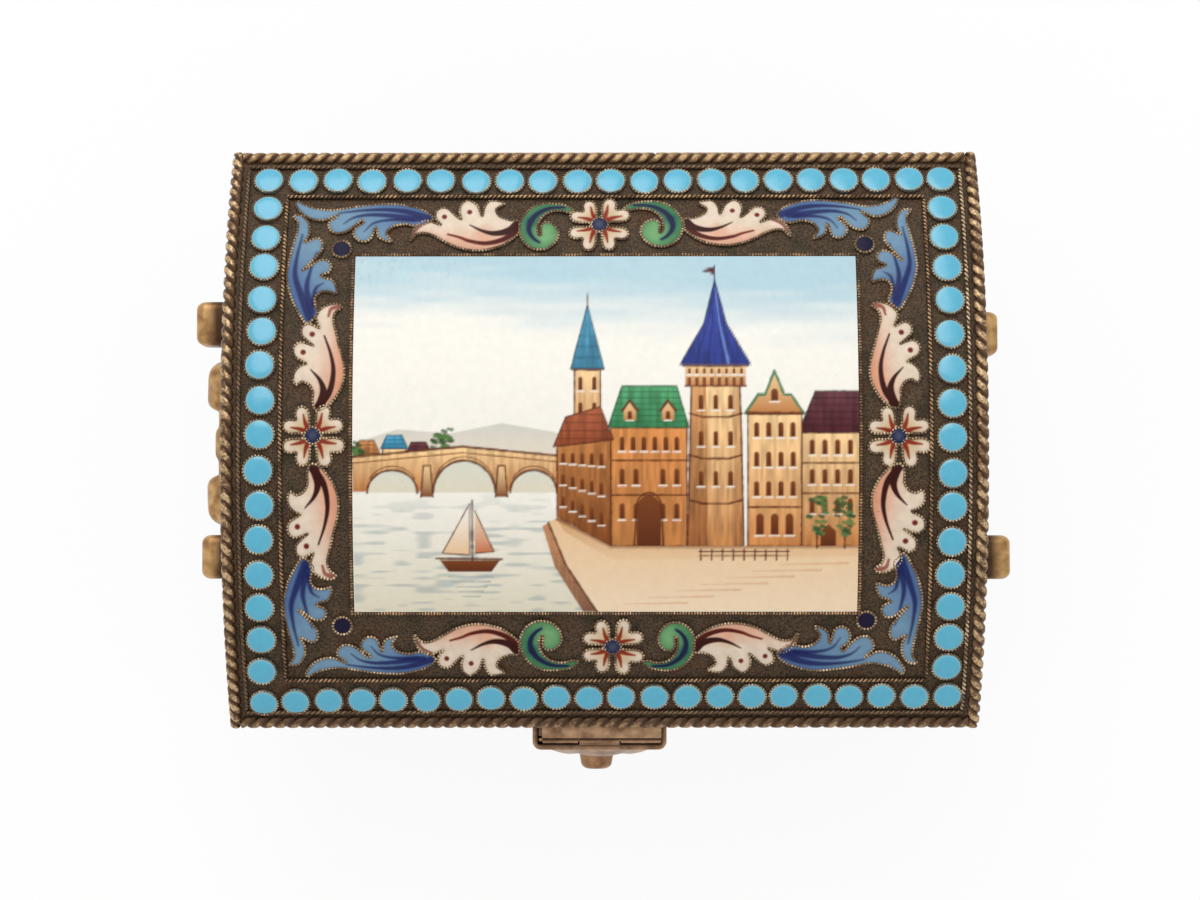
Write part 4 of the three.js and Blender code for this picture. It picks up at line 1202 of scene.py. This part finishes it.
def paint_quay(art):
    """Sandy bank with a low wall above the water, trees and a railing."""
    bank = [(6.6, -10.2), (4.6, -15.2), (1.0, -20.9)]
    art.wash(bank + [(-29.4, -20.9), (-29.4, -13), (-0.6, -13), (5.6, -9.6)], SAND, PALE_SAND)
    art.wash(bank + [(2.6, -20.9), (5.9, -15.4), (7.3, -10.6)], OCHRE, UMBER, 0.9, 0.5)
    art.line(bank, 0.26)
    art.line([(-29.4, -13.1), (-0.6, -13.1), (5.6, -9.8)], 0.34, INK, None, 0.8)
    shade = [(-29.4, -13.0), (-0.6, -13.0), (5.6, -9.8), (4.8, -11.2), (-0.8, -14.6), (-29.4, -14.2)]
    art.wash(shade, OCHRE, SAND, 0.6)
    for n in range(7):
        s = -15.0 - 0.8 * n
        art.line([(-28 + 3.1 * n, s), (-20 + 3.0 * n, s - 0.15)], 0.3, OCHRE, 0.08, 0.35)
    for x, seed in ((-27.6, 27), (-24.4, 24)):
        art.tree(x, -13.2, 2.4, 6.0, seed)
    for n in range(9):
        x = -21 + 1.25 * n
        art.line([(x, -14.6), (x, -13.4)])
    art.level(-21.2, -10.8, -13.6, 0.18)
    art.level(-21.2, -10.8, -14.1, 0.14)


def paint_boat(art):
    """Small sailing boat on the river."""
    art.wash([(12.2, -14.6), (19.2, -14.6), (18.2, -16.0), (13.2, -16.0)], UMBER, INK)
    art.line([(12.0, -14.5), (19.6, -14.4)], 0.26)
    art.line([(15.4, -14.6), (15.4, -7.6)], 0.22)
    art.wash([(15.7, -14.0), (18.9, -13.8), (15.7, -8.0)], PAPER, SAND, 1.0, 0.0, 0.16)
    art.wash([(15.1, -13.8), (12.9, -13.6), (15.1, -8.8)], PALE_SAND, SAIL, 1.0, 0.0, 0.16, False)
    for n in range(5):
        wide, s = 2.6 - 0.4 * n, -16.6 - 0.6 * n
        art.level(15.6 - wide, 15.6 + wide, s, 0.22, RIPPLE * 0.8, 0.1, 0.6)


SKY_FOOT = 8


def plaque():
    """Painted plate, with a finer mesh below the sky."""
    x = np.linspace(-PLAQUE_HALF_X, PLAQUE_HALF_X, PLAQUE_COLUMNS)
    fine = np.linspace(PLAQUE_FRONT, SKY_FOOT, PLAQUE_ROWS[0])
    coarse = np.linspace(SKY_FOOT, PLAQUE_BACK, PLAQUE_ROWS[1])
    flat, quads, border = grid(x, np.concatenate([fine[:-1], coarse]))
    columns, rows = len(x), len(flat) // len(x)
    here = len(flat) + np.arange(len(border))
    left, right = here[-np.arange(rows)], here[columns - 1 + np.arange(rows)]
    strips = np.stack([left[1:-2], left[2:-1], right[2:-1], right[1:-2]], -1)
    back = here[columns + rows - 2:2 * columns + rows - 2]
    first = np.concatenate([[left[1], right[1]], here[columns - 1::-1]])
    last = np.concatenate([[right[-2], left[-2]], back[::-1]])
    colour = paint_picture(flat)
    points = np.concatenate([on_lid(flat, PLAQUE_TOP), on_lid(flat[border], SEAT)])
    shape = Shape()
    faces = [quads, skirt(border, here), strips, first[None], last[None]]
    shape.add(points, faces, np.concatenate([colour, colour[border]]))
    shape.piece("picture_plaque", "lid", "painted_enamel", [PICTURE], ["enamel_plaque"])


# Clasp
HASP_X = -0.75
HASP_AXIS = (-35.75, 43.4)
HASP_FACE_Y = -37.0
HASP_LIP_Y = -35.0
HASP_BACK_Y = -33.4
HASP_SHEET = 0.6
HASP_ROUND = 1.0
HASP_HALF = 8.0
HASP_SHOULDER = 7.0
HASP_LENGTH = 16.0
HASP_EDGE = [(HASP_HALF, -HASP_SHOULDER), (HASP_HALF, -11.0), (4.4, -14.0), (0, -HASP_LENGTH)]
HASP_KNUCKLE = (0.5, 2.4)
HASP_TONGUE = [(-36.55, 43.38), (-36.55, 42.9), (-35.75, 42.9), (-35.75, 43.38)]
KNUCKLE_BEVEL = 0.1
# span of the painted shade on a knuckle, from the back under the leaf to the lit front
KNUCKLE_SHADE = (0.05, -0.7)
# tongue a little darker under the knuckle: painted shade
TONGUE_SHADE = 0.8
SHELL_FOOT = 13.0
SHELL_RIBS = 4.5
SHELL_GROOVE = 0.35
SHELL_ROOT = (0.5, 2.0)
SHELL_RIM = (13.5, 9.5)
SHELL_SIDE = (7.2, 3.4)
SHELL_TOP = (0.0, -1.2)
LEAF_HALF = 7.1
LEAF_SHIFT = 0.25
LEAF_SEAT = 7.25
LEAF_STEP = 0.2
LEAF_FRONT = -35.6
LEAF_BACK = -33.0
LEAF_Z = (44.0, 44.6)
LEAF_WEB = [(-35.55, 44.0), (-35.55, 43.6), (-35.3, 43.6), (-35.3, 44.0)]
LEAF_GAP = 0.1
# seat under the plate, darker: painted shade
LEAF_SEAT_SHADE = 0.35
KNOB_PLACE = (-1.15, 34.4)
KNOB_RADIUS = 2.1
KNOB_NECK = [(1.89, -0.2), (2.1, 0.3), (2.1, 0.8)]
KNOB_SHOULDER = 2.0
KNOB_RISE = 0.8
KNOB_FLAT = 0.4
KNOB_ROUND = 0.5


def hasp_line(inset):
    """Edge of the shield-shaped cover from top right round to top left, drawn in by an inset."""
    t = np.linspace(0, 1, 40)[:, None]
    weights = np.hstack([(1 - t) ** 3, 3 * t * (1 - t) ** 2, 3 * t * t * (1 - t), t ** 3])
    side = np.stack([np.full(16, HASP_HALF), np.linspace(0, -HASP_SHOULDER, 17)[:-1]], -1)
    right = np.concatenate([side, weights @ np.array(HASP_EDGE)])
    line = np.concatenate([right, (right * (-1, 1))[-2::-1]])
    along = np.gradient(line, axis=0)
    return line + inset * unit(np.stack([along[:, 1], -along[:, 0]], -1))


def hasp_relief(flat):
    """Height of the shell chased on the cover, with ribs that fan out from its foot."""
    across, down = flat[:, 0], flat[:, 1] + SHELL_FOOT
    reach = np.hypot(across, down)
    fan = np.abs(np.cos(SHELL_RIBS * np.arctan2(across, down)))
    ribs = SHELL_GROOVE + (1 - SHELL_GROOVE) * fan ** 0.7
    shell = ease(*SHELL_ROOT, reach) * ease(*SHELL_RIM, reach) * ribs
    return shell * ease(*SHELL_SIDE, np.abs(across)) * ease(*SHELL_TOP, flat[:, 1])


def clasp_pan():
    """Cover of the hasp: a dished sheet with a rounded edge, a shell on its face and a knuckle on top."""

    def place(line, y):
        return point(HASP_X + line[:, 0], y, HASP_AXIS[1] + line[:, 1])

    steps = [(0.0, HASP_BACK_Y), (0.0, HASP_LIP_Y)]
    for t in np.linspace(0, np.pi / 2, 7):
        steps.append((HASP_ROUND * (1 - math.cos(t)), HASP_FACE_Y + HASP_ROUND * (1 - math.sin(t))))
    front = [place(hasp_line(inset), y) for inset, y in steps]
    back = [place(hasp_line(max(inset, HASP_SHEET)), min(y + HASP_SHEET, HASP_BACK_Y)) for inset, y in steps]
    edge = hasp_line(HASP_ROUND)
    for part in np.linspace(0, 1, 26)[1:]:
        flat = edge * (1 - part, 1)
        front.append(place(flat, HASP_FACE_Y - hasp_relief(flat)))
        back.append(place(flat, HASP_FACE_Y + HASP_SHEET))
    layers, sides = len(front), len(edge)
    faces = [ring_quads(2 * layers, sides, False, False)]
    k = np.arange(layers - 1)
    for end, turn in ((0, 1), (sides - 1, -1)):
        outer, inner = (layers + k) * sides + end, (layers - 1 - k) * sides + end
        faces.append(np.stack([outer, outer + sides, inner - sides, inner], -1)[:, ::turn])
    shape = Shape()
    # back and inside of the dish in the dark patina colour, the face bright: patina and painted shade
    shape.add(np.concatenate(back[::-1] + front), faces, np.repeat([0.0, 1.0], layers * sides))
    half = HASP_KNUCKLE[1]
    hasp_knuckle(shape, -half, half)
    # tongue a little darker: painted shade under the knuckle
    bar(shape, HASP_TONGUE, -half, half, TONGUE_SHADE)
    shape.piece("clasp_pan", "hasp", "gilt_casting", [CLASP], ["hasp_cover"])


def hasp_knuckle(shape, start, end):
    """Knuckle of the hasp's hinge, with painted shade at the back where it lies under the leaf."""
    radius, bevel = HASP_KNUCKLE[0], KNUCKLE_BEVEL
    small = radius - bevel
    profile = [(small, start), (radius, start + bevel), (radius, end - bevel), (small, end)]
    # painted shade: darker towards the back, under the leaf
    unshaded = ease(*KNUCKLE_SHADE, np.tile(circle(1, KNUCKLE_SIDES)[:, 0], len(profile)))

    def beside(ring, x):
        return point(HASP_X + x, HASP_AXIS[0] + ring[:, 0], HASP_AXIS[1] + ring[:, 1])

    lathe(shape, profile, KNUCKLE_SIDES, beside, unshaded)


def bar(shape, outline, start, end, tint):
    """Straight bar along x with the given outline, y then z."""
    y, z = np.array(outline).T
    ends = [point(HASP_X + x, y, z) for x in (start, end)]
    shape.add(np.concatenate(ends), tube_faces(2, len(outline)), tint)


def clasp_leaf():
    """Leaf on the lid: a plate with a rounded front edge over the two outer knuckles, a seat in painted
    shade under it and a dark web as a painted shadow line below its front.
    """
    shape = Shape()
    low, high = LEAF_Z
    half = (high - low) / 2
    front, left, right = LEAF_FRONT + half, LEAF_SHIFT - LEAF_HALF, LEAF_SHIFT + LEAF_HALF
    turn = np.linspace(np.pi / 2, 3 * np.pi / 2, 9)
    nose = [(front + half * math.cos(t), low + half + half * math.sin(t)) for t in turn]
    bar(shape, nose + [(LEAF_BACK, low), (LEAF_BACK, high)], left, right, 1)
    seat = [(front, low + LEAF_STEP), (front, low), (LEAF_BACK, low), (LEAF_BACK, low + LEAF_STEP)]
    # seat under the plate, darker as painted shade
    bar(shape, seat, -LEAF_SEAT, LEAF_SEAT, LEAF_SEAT_SHADE)
    gap = HASP_KNUCKLE[1] + LEAF_GAP
    for start, end in ((left, -gap), (gap, right)):
        hasp_knuckle(shape, start, end)
        # web under the plate in the full dark patina colour: a painted shadow line
        bar(shape, LEAF_WEB, start, end, 0)
    shape.piece("clasp_leaf", "lid", "gilt_casting", [CLASP], ["hasp_leaf"])


def clasp_knob():
    dome = []
    for t in np.linspace(0, np.pi / 2, 12):
        radius = KNOB_RADIUS * (KNOB_FLAT + KNOB_ROUND * math.cos(t))
        dome.append((radius, KNOB_SHOULDER + KNOB_RISE * math.sin(t)))

    def before(ring, h):
        return point(KNOB_PLACE[0] + ring[:, 0], HASP_FACE_Y - h, KNOB_PLACE[1] + ring[:, 1])

    shape = Shape()
    lathe(shape, KNOB_NECK + dome, KNOB_SIDES, before, 1)
    shape.piece("clasp_knob", "hasp", "gilt_casting", [KNOB], ["hasp_knob"])


# Side handles
PIVOT_X = {"left": 46.4, "right": 45.9}
PIVOT_Z = 31.0
HANDLE_Y = {"left": 0.5, "right": -0.2}
BAIL_LEAN = {"left": 10.0, "right": 0.0}
LUG_Y = {"left": 14.4, "right": 13.8}
LUG_REACH = {"left": (3.3, 4.1), "right": (3.85, 2.5)}
LUG_HALF_Y = 2.7
LUG_HALF_Z = 2.8
LUG_CORNER = 1.0
LUG_ROUND = 1.0
LUG_BORE = 0.75
LUG_GAP = 0.1
# where a lug turns dark towards the wall, as patina and painted shade: start and end, in from its outer end
LUG_DARK = (2.6, 1.0)
EYE_Y = {"left": 10.1, "right": 9.5}
EYE_RADIUS = 1.3
EYE_HALF = 1.3
EYE_BORE = 0.7
EYE_ROUND = 0.35
BAIL_TOP = -0.65
BAIL_ARM = -4.0
BAIL_BENDS = [(6.85, -7.0), (3.4, -8.6)]
BAIL_DROP = -9.0
BAIL_RADIUS = 1.15
BAIL_SWELL_Y = 6.85
BAIL_SWELL = {"left": 1.45, "right": 1.15}
BAIL_SWELL_WIDTH = 2.45
BAIL_MIDDLE = (0.4, 1.9)
SWELL_POWER = 8
# grip tint: dark on the side facing the wall as painted shade, lighter facing out
BAIL_WEAR_AND_SHADE = (1.0, 0.1, -0.2, 0.7)
# eyes of the grip darker throughout: painted shade by the wall
EYE_SHADE = 0.4


def bored(shape, outline, hole, half, rounding, count, place, wear_and_shade, flip):
    """Block with rounded edges and a hole through it, the same on both faces."""
    rows = [(hole, -half)]
    for t in np.linspace(0, np.pi / 2, count):
        rows.append((outline(rounding * (1 - math.sin(t))), -half + rounding * (1 - math.cos(t))))
    rows += [(line, -depth) for line, depth in rows[::-1]]
    rings = [place(line, depth) for line, depth in rows]
    quads = ring_quads(len(rings), len(hole), True)
    tint = np.concatenate([wear_and_shade(line[:, 0]) for line, depth in rows])
    shape.add(np.concatenate(rings), [quads[:, ::-1] if flip else quads], tint)


def lug(name, side, pivot, y, reach):
    """Rounded block on the wall with the pivot hole through it, darker towards the wall: patina and painted
    shade.
    """
    back = HALF_LENGTH + LUG_GAP - pivot

    def outline(inset):
        half = LUG_HALF_Z - inset
        bend = reach - inset - LUG_CORNER
        corner = circle(LUG_CORNER, 28)[21:] + (bend, LUG_CORNER - half)
        corner = np.concatenate([corner, [(bend + LUG_CORNER, LUG_CORNER - half)]])
        foot = np.stack([np.linspace(back, bend, 8, endpoint=False), np.full(8, -half)], -1)
        lower = np.concatenate([foot, corner])
        face = np.stack([np.full(6, back), np.linspace(half, -half, 8)[1:-1]], -1)
        return np.concatenate([lower, lower[::-1] * (1, -1), face])

    def place(line, depth):
        return point(side * (pivot + line[:, 0]), y + depth, PIVOT_Z + line[:, 1])

    # patina and painted shade near the wall
    def wear_and_shade(out):
        return ease(reach - LUG_DARK[0], reach - LUG_DARK[1], out)

    shape = Shape()
    hole = LUG_BORE * unit(outline(0))
    bored(shape, outline, hole, LUG_HALF_Y, LUG_ROUND, 7, place, wear_and_shade, side > 0)
    shape.piece(name + "_block", "casket_body", "gilt_casting", [HANDLE], [name])


def bail(name, side):
    """Hanging grip with three swellings, leaning outwards as it hangs."""
    lean = math.radians(BAIL_LEAN[name])
    eye = EYE_Y[name]

    def hang(out, along, up):
        x = out * math.cos(lean) - up * math.sin(lean)
        z = out * math.sin(lean) + up * math.cos(lean)
        return point(side * (PIVOT_X[name] + x), HANDLE_Y[name] + along, PIVOT_Z + z)

    half = [(eye, BAIL_TOP), (eye, BAIL_ARM)] + BAIL_BENDS
    knots = [(-y, z) for y, z in half] + [(0, BAIL_DROP)] + half[::-1]
    along, up = even_steps(smooth_line(knots, False, 16), BAIL_RINGS).T
    path = hang(0.0, along, up)
    reach = np.abs(along)
    swell = np.exp(-(((reach - BAIL_SWELL_Y) / BAIL_SWELL_WIDTH) ** SWELL_POWER))
    middle = np.exp(-((reach / BAIL_MIDDLE[1]) ** SWELL_POWER))
    radius = BAIL_RADIUS + BAIL_SWELL[name] * swell + BAIL_MIDDLE[0] * middle
    shape = Shape()
    outline = circle(1, BAIL_SIDES) * radius[:, None, None]
    # painted shade on the side of the grip facing the wall
    sweep(shape, path, hang(1.0, along, up) - path, outline, BAIL_WEAR_AND_SHADE)
    for y in (-eye, eye):

        def place(line, depth):
            return hang(line[:, 0], y + depth, line[:, 1])

        def ring(inset):
            return circle(EYE_RADIUS - inset, EYE_SIDES)

        # painted shade: the eyes are tinted darker throughout
        def wear_and_shade(out):
            return np.full(len(out), EYE_SHADE)

        bored(shape, ring, circle(EYE_BORE, EYE_SIDES), EYE_HALF, EYE_ROUND, 5, place, wear_and_shade, side > 0)
    shape.piece(name + "_grip", name + "_handle", "gilt_casting", [HANDLE], [name + "_bail"])


def handles():
    for name, side in (("left", -1), ("right", 1)):
        bail(name, side)
        for end, step, reach in zip(("front", "back"), (-1, 1), LUG_REACH[name]):
            lug(f"{name}_lug_{end}", side, PIVOT_X[name], HANDLE_Y[name] + step * LUG_Y[name], reach)


# Ornament of the walls, which the photo does not show: the lid's border motifs again
WALL_WIRES = (4.3, 9.0, 35.4, 40.3)
WALL_BEADS = {"low": 6.65, "high": 37.85}
WALL_BEAD_SIZE = (1.64, 1.64)
WALL_GRAIN = 0.62
WALL_BEAD_SIDES = 18
HASP_CLEAR = 9.4
# Each band: the place of its flower, and the boxes of the cells to the right of it
LONG_BAND = ((0, 20), [
    ("scroll", (4.0, 12.0, 16.0, 24.0)),
    ("white_leaf", (12.2, 25.5, 16.0, 24.5)),
    ("blue_leaf", (24.0, 39.0, 16.5, 24.5)),
])
END_BAND = ((0, 14.4), [
    ("white_leaf", (4.4, 17.0, 11.0, 18.2)),
    ("blue_leaf", (15.6, 29.0, 11.2, 18.2)),
])
LUNETTE = ((0, 48.8), [("blue_leaf", (4.6, 20.0, 45.0, 50.4))])
# Each wall: panel, band, half the length of its wires and of its bead rows, beads in a row
WALL_LAYOUT = {
    "front": (on_front, LONG_BAND, 40.8, 38.0, 20),
    "back": (on_back, LONG_BAND, 40.8, 38.0, 20),
    "left": (on_left, END_BAND, 30.8, 28.0, 15),
    "right": (on_right, END_BAND, 30.8, 28.0, 15),
}


def ornament(name, body, panel, band):
    """Flower with the same cells to the right and left of it."""
    centre, cells = band
    shapes = Shape(), Shape()
    lay_flower(WALL_CELLS, centre, panel, shapes, WALL_GRAIN)
    for side in (-1, 1):
        for cell, (x0, x1, low, high) in cells:
            WALL_CELLS[cell].place_in_box((side * x0, side * x1, low, high), panel, shapes, WALL_GRAIN)
    shapes[0].piece(name + "_enamel", body, "painted_enamel", [CELL_ENAMEL])
    shapes[1].piece(name + "_cell_wire", body, "gilt_wire", [CELL_METAL])


def wall_ornament():
    for name, (panel, band, reach, bead_reach, beads) in WALL_LAYOUT.items():
        ornament(name + "_wall", "casket_body", panel, band)
        wires = Shape()
        for z in WALL_WIRES:
            spans = [(-reach, reach)]
            if name == "front" and z > SEAM - HASP_LENGTH:
                spans = [(-reach, HASP_X - HASP_CLEAR), (HASP_X + HASP_CLEAR, reach)]
            for start, end in spans:
                lay_wire(wires, panel, [(start, z), (end, z)], OUTER_PITCH)
        wires.piece(name + "_wall_wires", "casket_body", "gilt_wire", [FINE_METAL])
        for level, z in WALL_BEADS.items():
            row = bowed_row((-bead_reach, z), (bead_reach, z), (0, 0), beads)
            if name == "front" and level == "high":
                row = [place for place in row if abs(place[0] - HASP_X) > HASP_CLEAR + WALL_BEAD_SIZE[0]]
            finish = (WALL_BEAD_SIZE, "casket_body", (), WALL_BEAD_SIDES, WALL_GRAIN)
            bead_row(f"{name}_wall_{level}_beads", panel, row, *finish)
    for name, panel in (("left", on_left), ("right", on_right)):
        ornament(name + "_lunette", "lid", panel, LUNETTE)


# Parts shown as they come from the frame: a word in the name, and the look
CAD_LOOKS = {
    "wall": WALLS, "base_plate": WALLS, "lid_end": WALLS, "lid_rim": WALLS,
    "liner": GILT, "knuckle": CAST, "pin": CAST, "catch_stud": CAST,
}
WELD_GAP = 0.01
EDGE_ROUND = 0.12


def dress_cad():
    for name, node in frame["nodes"].items():
        look = next((look for word, look in CAD_LOOKS.items() if word in name), None)
        if look is None:
            continue
        node.data.materials.clear()
        node.data.materials.append(look)
        weld = node.modifiers.new("weld", "WELD")
        weld.merge_threshold = WELD_GAP * MM
        bevel = node.modifiers.new("bevel", "BEVEL")
        bevel.width = EDGE_ROUND * MM
        bevel.segments = 2
        bevel.limit_method = "ANGLE"
        bevel.angle_limit = CREASE


# Stage, light and camera, in metres, apart from the floor's blotches
FLOOR_HALF = 3.0
FLOOR_Z = -0.0001
FLOOR_GLOW = 0.9
FLOOR_TONES = ((0.3, (248, 248, 248)), (0.7, (252, 252, 252)))
FLOOR_BLOTCH = 400.0
SOFT_LIGHT = 0.8
WINDOW_SIZE = (0.3, 0.74)
WINDOW_POWER = 1.8
WINDOW_PLACE = Vector((-0.06, 0.43, 0.49))
WINDOW_AIM = Vector((0, 0, 0.05))
CAMERA_PLACE = Vector((0.0000465, -0.01656, 0.40249))
CAMERA_TURN = (("Z", 0.000768), ("Y", -0.002004), ("X", -0.042708))
CAMERA_LENS = 90.0
CAMERA_SENSOR = 36.0
CAMERA_NEAR = 0.01


def add_object(name, data):
    made = bpy.data.objects.new(name, data)
    bpy.context.scene.collection.objects.link(made)
    return made


def stage():
    """Pale floor that shines white to the eye and still takes the object's shadow."""
    look = Look("floor")
    tree = look.tree
    tone = look.ramp(look.noise(FLOOR_BLOTCH), *FLOOR_TONES)
    material = look.finish({"Roughness": 0.9, "Base Color": tone})
    path = add_node(tree, "LightPath").outputs
    seen = look.math("MAXIMUM", path["Is Camera Ray"], path["Is Glossy Ray"])
    share = look.math("MULTIPLY", seen, FLOOR_GLOW)
    glow = add_node(tree, "Emission").outputs[0]
    both = add_node(tree, "MixShader", {0: share, 1: look.shader.outputs[0], 2: glow}).outputs[0]
    feed(tree, tree.nodes["Material Output"], {"Surface": both})
    mesh = bpy.data.meshes.new("floor")
    corners = [(x * FLOOR_HALF, y * FLOOR_HALF, FLOOR_Z) for x, y in ((-1, -1), (1, -1), (1, 1), (-1, 1))]
    mesh.from_pydata(corners, [], [(0, 1, 2, 3)])
    mesh.materials.append(material)
    add_object("floor", mesh)


def light():
    """Even light from all round, and a window lamp behind the object."""
    world = bpy.data.worlds.new("studio")
    bpy.context.scene.world = world
    world.use_nodes = True
    tree = world.node_tree
    white = (1, 1, 1, 1)
    soft = tree.nodes["Background"]
    feed(tree, soft, {"Color": white, "Strength": SOFT_LIGHT})
    plain = add_node(tree, "Background", {"Color": white, "Strength": 1.0}).outputs[0]
    seen = add_node(tree, "LightPath").outputs["Is Camera Ray"]
    both = add_node(tree, "MixShader", {0: seen, 1: soft.outputs[0], 2: plain}).outputs[0]
    feed(tree, tree.nodes["World Output"], {"Surface": both})
    lamp = bpy.data.lights.new("window", "AREA")
    lamp.shape = "RECTANGLE"
    lamp.size, lamp.size_y = WINDOW_SIZE
    lamp.energy = WINDOW_POWER
    window = add_object("window", lamp)
    window.location = WINDOW_PLACE
    window.rotation_euler = (WINDOW_AIM - WINDOW_PLACE).to_track_quat("-Z", "Y").to_euler()


def camera():
    view = bpy.data.cameras.new("camera")
    view.lens = CAMERA_LENS
    view.sensor_width = CAMERA_SENSOR
    view.clip_start = CAMERA_NEAR
    made = add_object("camera", view)
    turn = Matrix.Identity(3)
    for axis, angle in CAMERA_TURN:
        turn = turn @ Matrix.Rotation(angle, 3, axis)
    made.matrix_world = Matrix.Translation(CAMERA_PLACE) @ turn.transposed().to_4x4()
    bpy.context.scene.camera = made


lid_vault()
lid_ropes()
lid_wires()
lid_beads()
lid_cells()
plaque()
foot_ropes()
clasp_leaf()
clasp_pan()
clasp_knob()
wall_ornament()
handles()
dress_cad()
stage()
light()
camera()
bpy.context.scene.view_settings.view_transform = "Standard"
